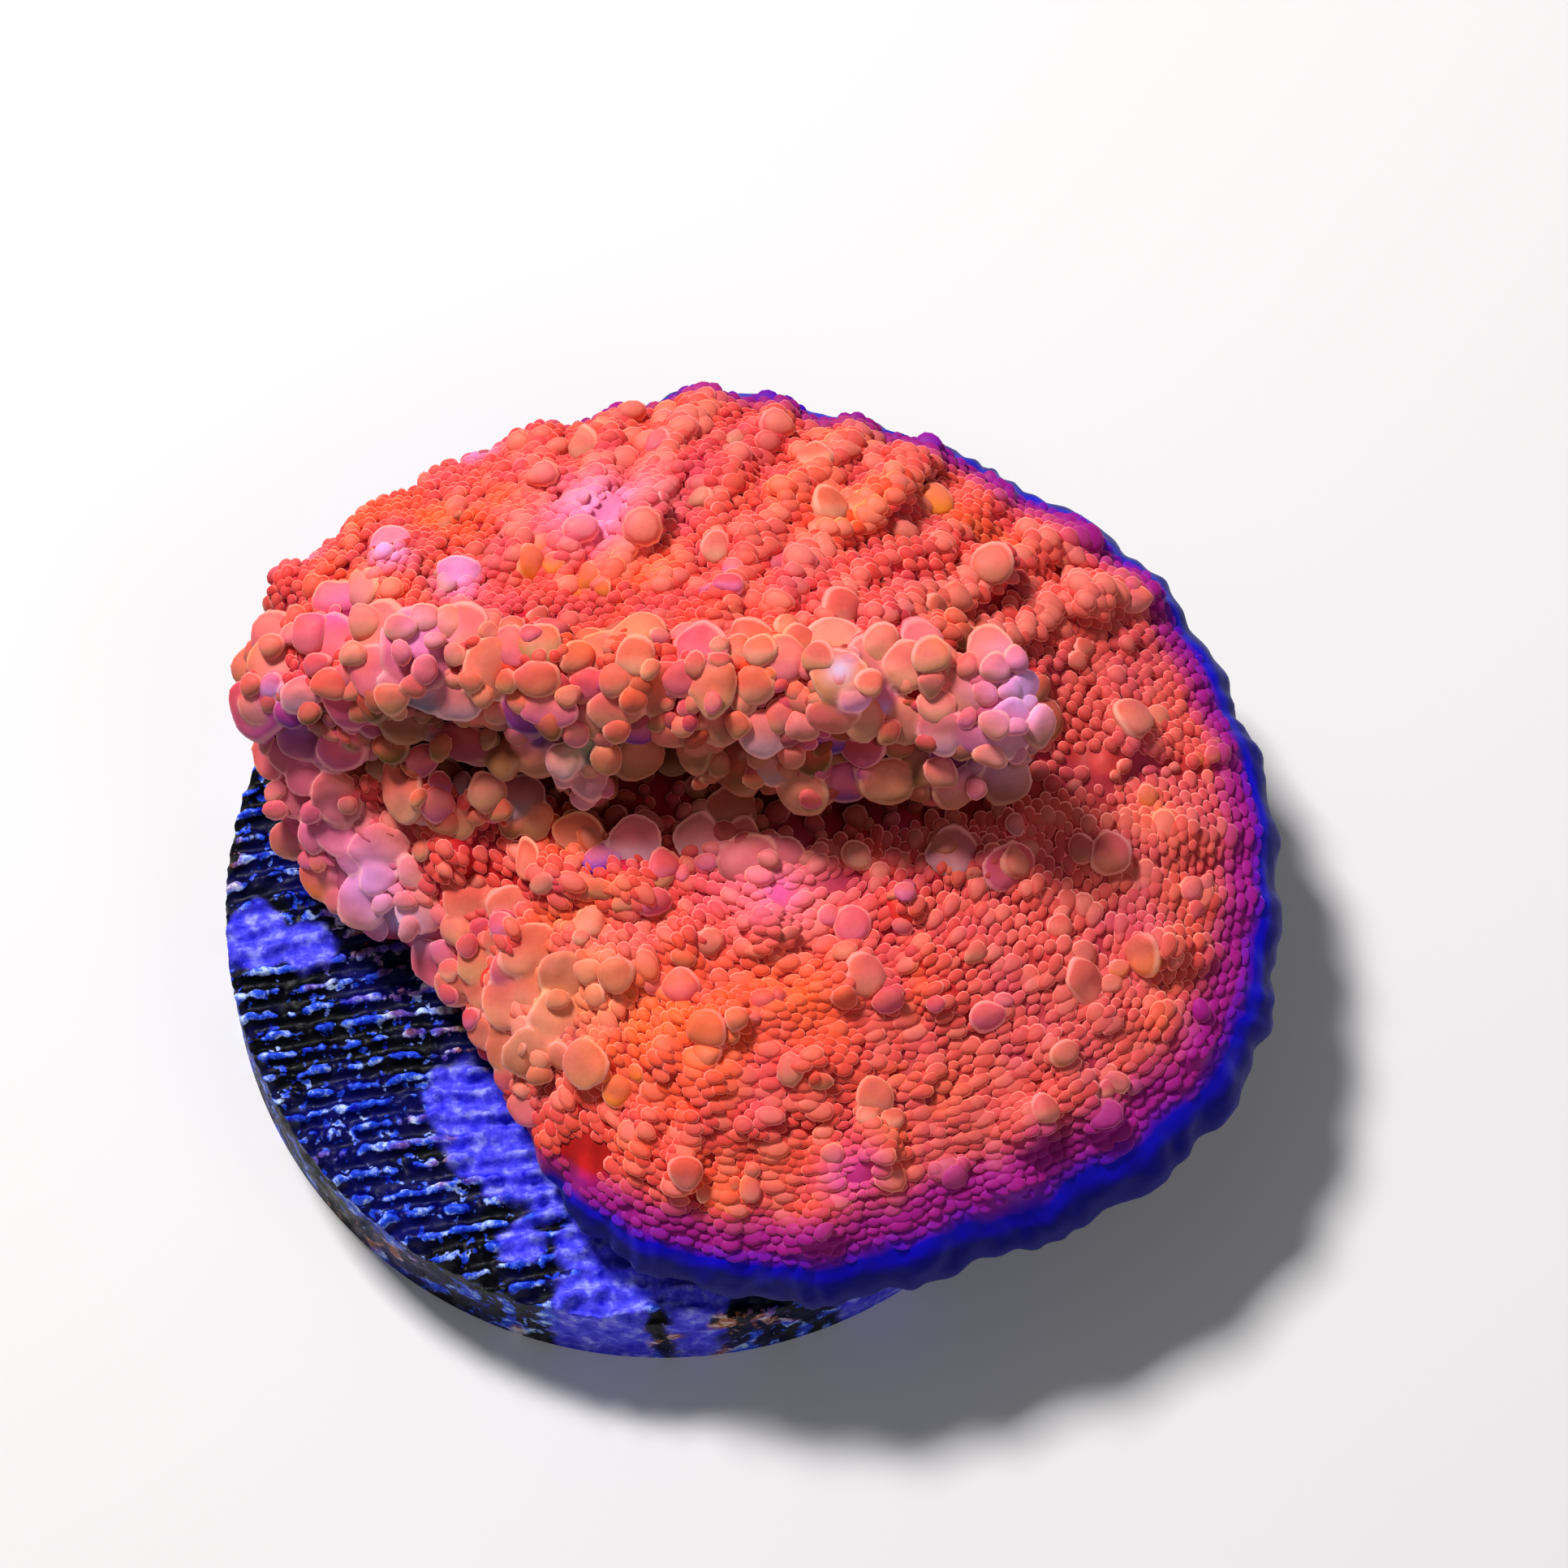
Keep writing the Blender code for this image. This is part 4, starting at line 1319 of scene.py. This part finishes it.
# EDGE, ORANGE_EDGE and PALE colour the painted highlight along each papilla's outline.
EDGE = paint(255, 150, 140)
ORANGE_EDGE = paint(255, 160, 100)
PALE = paint(255, 215, 200)
SHOULDER = paint(218, 60, 50)
CROWN = paint(206, 64, 56)
ORANGE_SIDE = paint(215, 50, 12)
ORANGE_CROWN = paint(230, 80, 24)
PURPLE = paint(150, 22, 120)
BLUE = paint(12, 2, 185)
DEEP_BLUE = paint(3, 1, 120)
# SHADED is multiplied into the colour where the shade mask paints shade.
SHADED = paint(118, 104, 44)
UNDER = paint(70, 34, 90)

tissue, given, made = new_group(
    "living colour",
    [("Place", "NodeSocketVector", (0, 0, 0)), ("Up", "NodeSocketFloat", 0.5),
     ("Edge", "NodeSocketFloat", 0.0), ("Tone", "NodeSocketFloat", 0.0),
     ("Rim", "NodeSocketFloat", 0.0),
     ("Tint", "NodeSocketColor", (1, 1, 1, 1)), ("Tint Strength", "NodeSocketFloat", 0.0),
     ("Shade", "NodeSocketFloat", 0.0), ("Under", "NodeSocketFloat", 0.0)],
    [("Color", "NodeSocketColor"), ("Painted Glow", "NodeSocketColor"), ("Roughness", "NodeSocketFloat"),
     ("Height", "NodeSocketFloat")],
)
place, up, tone = (given.outputs[name] for name in ("Place", "Up", "Tone"))
broad = noise_node(tissue, place, 160.0, 2.0)
patch = noise_node(tissue, place, 420.0, 3.0)
grain = noise_node(tissue, place, 5200.0, 2.0)
red = ramp_node(tissue, up, [(0.08, FOOT), (0.34, SIDE), (0.58, SHOULDER), (1.0, CROWN)])
orange = ramp_node(tissue, up, [(0.08, FOOT), (0.34, ORANGE_SIDE), (0.58, ORANGE_CROWN),
                                (1.0, ORANGE_CROWN)])
warm = math_node(tissue, "MULTIPLY_ADD", tone, 0.06, broad)
colour = mix_node(tissue, range_node(tissue, warm, 0.50, 0.72), red, orange)
pale = math_node(tissue, "MULTIPLY", range_node(tissue, tone, -0.2, 1.0, 0.0, 0.45),
                 range_node(tissue, up, 0.5, 0.75))
colour = mix_node(tissue, pale, colour, paint(244, 150, 130))
tinted = math_node(tissue, "MULTIPLY", given.outputs["Tint Strength"],
                   range_node(tissue, up, 0.0, 0.35, 0.55, 1.0))
colour = mix_node(tissue, tinted, colour, given.outputs["Tint"])
# Painted highlight: a thin pale band where the edge value marks the outline.
edge = ramp_node(tissue, given.outputs["Edge"], [(0.40, 0.0), (0.50, 1.0), (0.55, 0.9), (0.63, 0.0)])
edge_highlight_colour = mix_node(tissue, range_node(tissue, warm, 0.50, 0.72), EDGE, ORANGE_EDGE)
highlight_tint = mix_node(tissue, 0.42, given.outputs["Tint"], PALE)
edge_highlight_colour = mix_node(tissue, math_node(tissue, "MULTIPLY", tinted, 0.8), edge_highlight_colour, highlight_tint)
colour = mix_node(tissue, math_node(tissue, "MULTIPLY", edge, 0.72), colour, edge_highlight_colour)
rim_wave = math_node(tissue, "MULTIPLY_ADD", patch, 0.30, given.outputs["Rim"])
colour = mix_node(tissue, ramp_node(tissue, rim_wave, [(0.14, 0.0), (0.50, 1.0)]), colour, PURPLE)
colour = mix_node(tissue, ramp_node(tissue, rim_wave, [(0.64, 0.0), (0.84, 1.0)]), colour, BLUE)
colour = mix_node(tissue, ramp_node(tissue, rim_wave, [(0.92, 0.0), (1.1, 1.0)]), colour, DEEP_BLUE)
colour = mix_node(tissue, given.outputs["Under"], colour, UNDER)
# Painted shade: the shade mask darkens the colour toward SHADED, less where the piece's own tint is strong.
painted_shade = range_node(tissue, given.outputs["Shade"], 0.1, 0.85, 0.0, 1.0)
own_kept = math_node(tissue, "MULTIPLY_ADD", given.outputs["Tint Strength"], -0.35, 1.0)
painted_shade = math_node(tissue, "MULTIPLY", painted_shade, own_kept)
colour = mix_node(tissue, painted_shade, colour, mix_node(tissue, 1.0, colour, SHADED, "MULTIPLY"))
light = range_node(tissue, grain, 0.0, 1.0, 0.9, 1.1)
grey = tissue.nodes.new("ShaderNodeCombineColor")
for channel in range(3):
    tissue.links.new(light, grey.inputs[channel])
colour = mix_node(tissue, 1.0, colour, grey.outputs[0], "MULTIPLY")
# Painted glow: the colour is given back as light, most on the outline highlight, less in painted shade.
lit = math_node(tissue, "MULTIPLY_ADD", painted_shade, -0.9, 1.0)
painted_glow = math_node(tissue, "MULTIPLY", lit, math_node(tissue, "MULTIPLY_ADD", edge, 0.40, 0.08))
painted_glow = mix_node(tissue, painted_glow, (0.0, 0.0, 0.0), colour)
tissue.links.new(colour, made.inputs["Color"])
tissue.links.new(painted_glow, made.inputs["Painted Glow"])
tissue.links.new(range_node(tissue, patch, 0.0, 1.0, 0.42, 0.6), made.inputs["Roughness"])
tissue.links.new(grain, made.inputs["Height"])
print("living colour nodes:", len(tissue.nodes))

# %% [markdown]
# ## Two finishes
#
# Papillae have a velvet look, because their fine fuzz catches the light at grazing angles.
# The bare skin and the merged lobes are smoother. Both finishes read the same masks through
# the same group, so that the colour runs on from one to the other, and only the sheen differs.

# %% The coral's two finishes
SOCKET_FOR = {"up": "Up", "edge": "Edge", "tone": "Tone", "rim": "Rim", "shade": "Shade", "under": "Under"}


def coral_finish(name, sheen, sheen_tint):
    """A material around the living colour, with its own soft sheen."""
    finish = bpy.data.materials.new(name)
    finish.use_nodes = True
    tree = finish.node_tree
    shader = tree.nodes["Principled BSDF"]
    mixer = tree.nodes.new("ShaderNodeGroup")
    mixer.node_tree = tissue
    where = tree.nodes.new("ShaderNodeTexCoord")
    tree.links.new(where.outputs["Object"], mixer.inputs["Place"])
    for mask_name, socket in SOCKET_FOR.items():
        reader = tree.nodes.new("ShaderNodeAttribute")
        reader.attribute_name = mask_name
        tree.links.new(reader.outputs["Fac"], mixer.inputs[socket])
    tint_reader = tree.nodes.new("ShaderNodeAttribute")
    tint_reader.attribute_name = "tint"
    tree.links.new(tint_reader.outputs["Color"], mixer.inputs["Tint"])
    tree.links.new(tint_reader.outputs["Alpha"], mixer.inputs["Tint Strength"])
    tree.links.new(mixer.outputs["Color"], shader.inputs["Base Color"])
    tree.links.new(mixer.outputs["Roughness"], shader.inputs["Roughness"])
    tree.links.new(mixer.outputs["Painted Glow"], shader.inputs["Emission Color"])
    # The painted glow shines at this strength.
    shader.inputs["Emission Strength"].default_value = 0.35
    shader.inputs["Specular IOR Level"].default_value = 0.10
    shader.inputs["Sheen Weight"].default_value = sheen
    shader.inputs["Sheen Roughness"].default_value = 0.30
    shader.inputs["Sheen Tint"].default_value = sheen_tint
    bump = tree.nodes.new("ShaderNodeBump")
    bump.inputs["Strength"].default_value = 0.12
    bump.inputs["Distance"].default_value = 0.00005
    tree.links.new(mixer.outputs["Height"], bump.inputs["Height"])
    tree.links.new(bump.outputs["Normal"], shader.inputs["Normal"])
    return finish


velvet = coral_finish("living papillae", 0.38, (1.0, 0.5, 0.42, 1.0))
smooth_skin = coral_finish("living smooth skin", 0.12, (0.5, 0.6, 1.0, 1.0))
smooth_pieces = (skin, fold_drapes)
velvet_pieces = (fold_lobes, fold_dishes, fold_buds, front_lobes, big_knobs, small_knobs, shelf_piece,
                 plate_piece, steep_piece)
for piece in smooth_pieces + velvet_pieces:
    piece.data.materials.append(smooth_skin if piece in smooth_pieces else velvet)
    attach(piece, "root")
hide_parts("chalice_coral")

# %% [markdown]
# ## The disc
#
# The disc is a flat grid rounded into a circle, so that its faces stay even up to the edge.
# Its ribs are raised point by point, broken and worn at their tips. The edge is then
# extruded down in a few rough layers and closed underneath.

# %% Model the ribbed disc
GRID = 250
RIB_PITCH = 0.98 * MM
RIB_DEPTH = 0.5 * MM
RIB_TURN = math.radians(7.0)
RIB_WAVE = 0.7 * MM
WALL_LAYERS = 14

bpy.ops.object.select_all(action="DESELECT")
bpy.ops.mesh.primitive_grid_add(x_subdivisions=GRID, y_subdivisions=GRID, size=2.0,
                                location=(0, 0, 0))
disc = bpy.context.object
disc.name = "ribbed_disc"
square = points_of(disc.data)
round_x = square[:, 0] * np.sqrt(1 - 0.5 * square[:, 1] ** 2) * DISC_RADIUS
round_y = square[:, 1] * np.sqrt(1 - 0.5 * square[:, 0] ** 2) * DISC_RADIUS


def rib_tips(x, y):
    """How high the ribs stand at plan places, 0 to 1: wavy ribs with broken, worn tips."""
    along = x * math.cos(RIB_TURN) + y * math.sin(RIB_TURN)
    across = -x * math.sin(RIB_TURN) + y * math.cos(RIB_TURN)
    flat = np.stack([along, across, np.zeros_like(x)], axis=1)
    stretched = np.stack([along * 0.14, across * 0.1, np.zeros_like(x)], axis=1)
    sway = noise_at(stretched, 1 * MM) * RIB_WAVE + noise_at(flat, 1.6 * MM, 14.0) * 0.10 * MM
    ridge = 0.5 + 0.5 * np.cos(2 * math.pi * (across - sway) / RIB_PITCH)
    worn = noise_at(flat * np.array([0.7, 1.4, 1.0]), 0.75 * MM, 3.0)
    chips = noise_at(flat, 0.42 * MM, 9.0)
    return np.clip(ridge ** 1.1 * (0.66 + 0.75 * worn) + 0.5 * chips * (0.25 + 0.75 * ridge), 0.0, 1.0)


tips = rib_tips(round_x, round_y)
reach = np.hypot(round_x, round_y)
edge_fall = smoothstep(DISC_RADIUS - 0.5 * MM, DISC_RADIUS, reach) * 0.3 * MM
put_points(disc.data, np.stack([round_x, round_y, DISC_TOP - (1.15 - 1.15 * tips) * RIB_DEPTH - edge_fall],
                               axis=1))
take(disc)
bpy.ops.object.mode_set(mode="EDIT")
bpy.ops.mesh.select_all(action="DESELECT")
bpy.ops.mesh.select_mode(type="EDGE")
bpy.ops.mesh.select_non_manifold()
for layer in range(WALL_LAYERS):
    bpy.ops.mesh.extrude_region_move(TRANSFORM_OT_translate={"value": (0, 0, -DISC_TOP / WALL_LAYERS)})
bpy.ops.transform.resize(value=(1, 1, 0), center_override=(0, 0, 0))
bpy.ops.mesh.edge_face_add()
bpy.ops.mesh.select_all(action="SELECT")
bpy.ops.mesh.normals_make_consistent(inside=False)
bpy.ops.object.mode_set(mode="OBJECT")
disc.data.shade_smooth()
print("disc faces:", len(disc.data.polygons))

# %% [markdown]
# ## The disc's wall
#
# The wall of a cast disc is rough. Its points are pushed inward by noise, never outward, so
# that the disc keeps its size, and less and less toward the floor, where it stays round.

# %% Rough wall
disc_points = points_of(disc.data)
disc_turn = np.arctan2(disc_points[:, 1], disc_points[:, 0])
reach = np.hypot(disc_points[:, 0], disc_points[:, 1])
on_wall = reach > DISC_RADIUS - 0.02 * MM
lumps = noise_at(disc_points, 1.1 * MM, 4.0) * 0.3 * MM
off_floor = smoothstep(0.0, 0.8 * MM, disc_points[:, 2])
inward = np.where(on_wall, -np.abs(lumps) * off_floor, 0.0)
disc_points[:, 0] += inward * np.cos(disc_turn)
disc_points[:, 1] += inward * np.sin(disc_turn)
disc_points[:, 2] = np.clip(disc_points[:, 2], 0.0, None)
put_points(disc.data, disc_points)

# %% [markdown]
# ## What has grown on the disc
#
# The ceramic is nearly black. Its rib tips carry a broken crust of blue and white that also
# stands for painted glints of light on the tips, rust shows near the edge, and coralline algae
# lie in violet patches next to the coral. The patches are a mask on the disc's own points.

# %% Algae mask
# Places in millimetres: x, y, radius and strength.
ALGAE = [
    (-6.5, -10.6, 2.8, 1.0), (-4.6, -12.3, 2.2, 1.0), (-8.4, -9.2, 1.8, 1.0), (-3.0, -15.6, 1.6, 0.9),
    (-1.2, -16.7, 1.8, 1.0), (-3.3, -18.0, 1.4, 1.0), (-1.8, -18.4, 1.4, 1.0), (-17.5, -1.8, 1.6, 0.9),
    (-15.4, -2.2, 1.4, 0.8), (1.4, -17.8, 1.5, 0.9), (-5.9, -15.6, 1.2, 0.7), (9.0, -16.6, 2.0, 0.8),
    (16.0, 9.0, 2.2, 0.9), (-8.0, 16.0, 2.5, 0.9),
]
disc_points = points_of(disc.data)
disc_plan = disc_points * np.array([1, 1, 0])
algae = np.zeros(len(disc_points))
for x, y, radius, strength in ALGAE:
    apart = np.hypot(disc_points[:, 0] - x * MM, disc_points[:, 1] - y * MM) / (radius * MM)
    algae = np.maximum(algae, strength * np.exp(-apart ** 2))
algae = smoothstep(0.30, 0.48, algae + 0.22 * noise_at(disc_points, 0.9 * MM, 6.0))
put_values(disc.data, "algae", algae)
# The wall and the rib tips get crust colour, partly crust and partly painted glints.
wall_crust_and_glint = 0.42 + 0.8 * noise_at(disc_points * np.array([1, 1, 0.8]), 1.0 * MM, 12.0)
crust_and_glint = np.where(on_wall & (disc_points[:, 2] < DISC_TOP - 0.8 * MM), wall_crust_and_glint,
                   rib_tips(disc_points[:, 0], disc_points[:, 1]))
put_values(disc.data, "tips", np.clip(crust_and_glint, 0, 1))
crust_lift = algae * (0.12 + 0.10 * noise_at(disc_plan, 0.35 * MM, 8.0)) * MM
lifted = np.where(disc_points[:, 2] > DISC_TOP - 1.5 * MM, crust_lift, 0.0)
disc_points[:, 2] = np.minimum(disc_points[:, 2] + lifted, DISC_TOP + 0.2 * MM)
put_points(disc.data, disc_points)

# %% [markdown]
# ## The disc's finish
#
# Bare ceramic, crust, rust and algae are mixed by those masks and by noise at several
# scales, so that no patch repeats.

# %% The disc's material
disc_finish = bpy.data.materials.new("worn ceramic with algae")
disc_finish.use_nodes = True
tree = disc_finish.node_tree
shader = tree.nodes["Principled BSDF"]
where = tree.nodes.new("ShaderNodeTexCoord").outputs["Object"]
tips_in = tree.nodes.new("ShaderNodeAttribute")
tips_in.attribute_name = "tips"
algae_in = tree.nodes.new("ShaderNodeAttribute")
algae_in.attribute_name = "algae"
speckle = noise_node(tree, where, 1300.0, 4.0, 0.7)
zone = noise_node(tree, where, 230.0, 2.0)
# Crust and painted glints on the rib tips, as blue and white specks.
crust = math_node(tree, "MULTIPLY", tips_in.outputs["Fac"],
                  math_node(tree, "ADD", speckle, math_node(tree, "MULTIPLY", zone, 0.5)))
bare = ramp_node(tree, zone, [(0.42, paint(0, 0, 8)), (0.64, paint(0, 2, 85))])
crust_and_glint_colour = ramp_node(tree, speckle, [(0.38, paint(6, 18, 170)), (0.52, paint(40, 85, 235)),
                                         (0.66, paint(190, 215, 255))])
rust_colour = ramp_node(tree, speckle, [(0.35, paint(70, 35, 15)), (0.52, paint(160, 90, 60)),
                                        (0.64, paint(225, 200, 190))])
rust_share = ramp_node(tree, noise_node(tree, where, 190.0, 3.0), [(0.54, 0.0), (0.62, 1.0)])
crust_and_glint_colour = mix_node(tree, rust_share, crust_and_glint_colour, rust_colour)
colour = mix_node(tree, ramp_node(tree, crust, [(0.37, 0.0), (0.47, 1.0)]), bare, crust_and_glint_colour)
algae_colour = ramp_node(tree, noise_node(tree, where, 1400.0, 3.0, 0.6),
                         [(0.3, paint(22, 20, 200)), (0.52, paint(78, 76, 238)),
                          (0.72, paint(155, 160, 255))])
flecks = ramp_node(tree, noise_node(tree, where, 2100.0, 2.0, 0.5), [(0.60, 0.0), (0.65, 0.85)])
colour = mix_node(tree, flecks, colour, crust_and_glint_colour)
colour = mix_node(tree, algae_in.outputs["Fac"], colour, algae_colour)
tree.links.new(colour, shader.inputs["Base Color"])
tree.links.new(range_node(tree, speckle, 0.3, 0.7, 0.3, 0.7), shader.inputs["Roughness"])
shader.inputs["Specular IOR Level"].default_value = 0.12
disc_bump = tree.nodes.new("ShaderNodeBump")
disc_bump.inputs["Strength"].default_value = 0.5
disc_bump.inputs["Distance"].default_value = 0.0001
tree.links.new(noise_node(tree, where, 3000.0, 3.0), disc_bump.inputs["Height"])
tree.links.new(disc_bump.outputs["Normal"], shader.inputs["Normal"])
disc.data.materials.append(disc_finish)
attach(disc, "root")
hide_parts("frag_disc")

# %% [markdown]
# ## Floor, light and camera
#
# The floor is pale and plain. One large soft light stands high behind the left shoulder, so
# that the fold throws its shadow on the plate, and a weaker one fills from the right. The
# camera looks down steeply from the front.

# %% Stage
FLOOR_SIZE = 2.0
CAMERA_ELEVATION = math.radians(70.0)
CAMERA_DISTANCE = 0.300
CAMERA_LENS = 161.0
AIM = Vector((5.2, 3.65, 10.0)) * MM

bpy.ops.object.select_all(action="DESELECT")
bpy.ops.mesh.primitive_plane_add(size=FLOOR_SIZE, location=(0, 0, 0))
floor = bpy.context.object
floor.name = "floor"
floor_finish = bpy.data.materials.new("pale floor")
floor_finish.use_nodes = True
floor_shader = floor_finish.node_tree.nodes["Principled BSDF"]
floor_shader.inputs["Base Color"].default_value = (0.7, 0.7, 0.71, 1.0)
floor_shader.inputs["Roughness"].default_value = 0.7
floor.data.materials.append(floor_finish)
floor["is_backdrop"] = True


def area_light(name, place, size, power, colour):
    """A soft square light at a place in metres, turned to the coral."""
    light = bpy.data.lights.new(name, "AREA")
    light.size = size
    light.energy = power
    light.color = colour
    holder = bpy.data.objects.new(name, light)
    bpy.context.scene.collection.objects.link(holder)
    holder.location = place
    holder.rotation_euler = (AIM - Vector(place)).to_track_quat("-Z", "Y").to_euler()
    return holder


area_light("key", place=(-0.16, 0.20, 0.38), size=0.09, power=2.85, colour=(1.0, 0.97, 0.95))
area_light("fill", place=(0.30, -0.25, 0.40), size=0.35, power=0.42, colour=(0.96, 0.97, 1.0))

world = bpy.data.worlds.new("studio")
bpy.context.scene.world = world
world.use_nodes = True
world.node_tree.nodes["Background"].inputs["Color"].default_value = (0.95, 0.96, 1.0, 1.0)
world.node_tree.nodes["Background"].inputs["Strength"].default_value = 0.13

camera_data = bpy.data.cameras.new("camera")
camera = bpy.data.objects.new("camera", camera_data)
bpy.context.scene.collection.objects.link(camera)
back = Vector((0, -math.cos(CAMERA_ELEVATION), math.sin(CAMERA_ELEVATION)))
camera.location = AIM + back * CAMERA_DISTANCE
camera.rotation_euler = (-back).to_track_quat("-Z", "Y").to_euler()
camera_data.lens = CAMERA_LENS
camera_data.sensor_width = 36.0
camera_data.clip_start = 0.01
bpy.context.scene.camera = camera
bpy.context.scene.view_settings.view_transform = "Standard"

# %% [markdown]
# ## Sizes, and the end
#
# The dressed model is meant to stay in the solids' box, so its own box is measured at the end.

# %% Measure the dressed model's box
low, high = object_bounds()
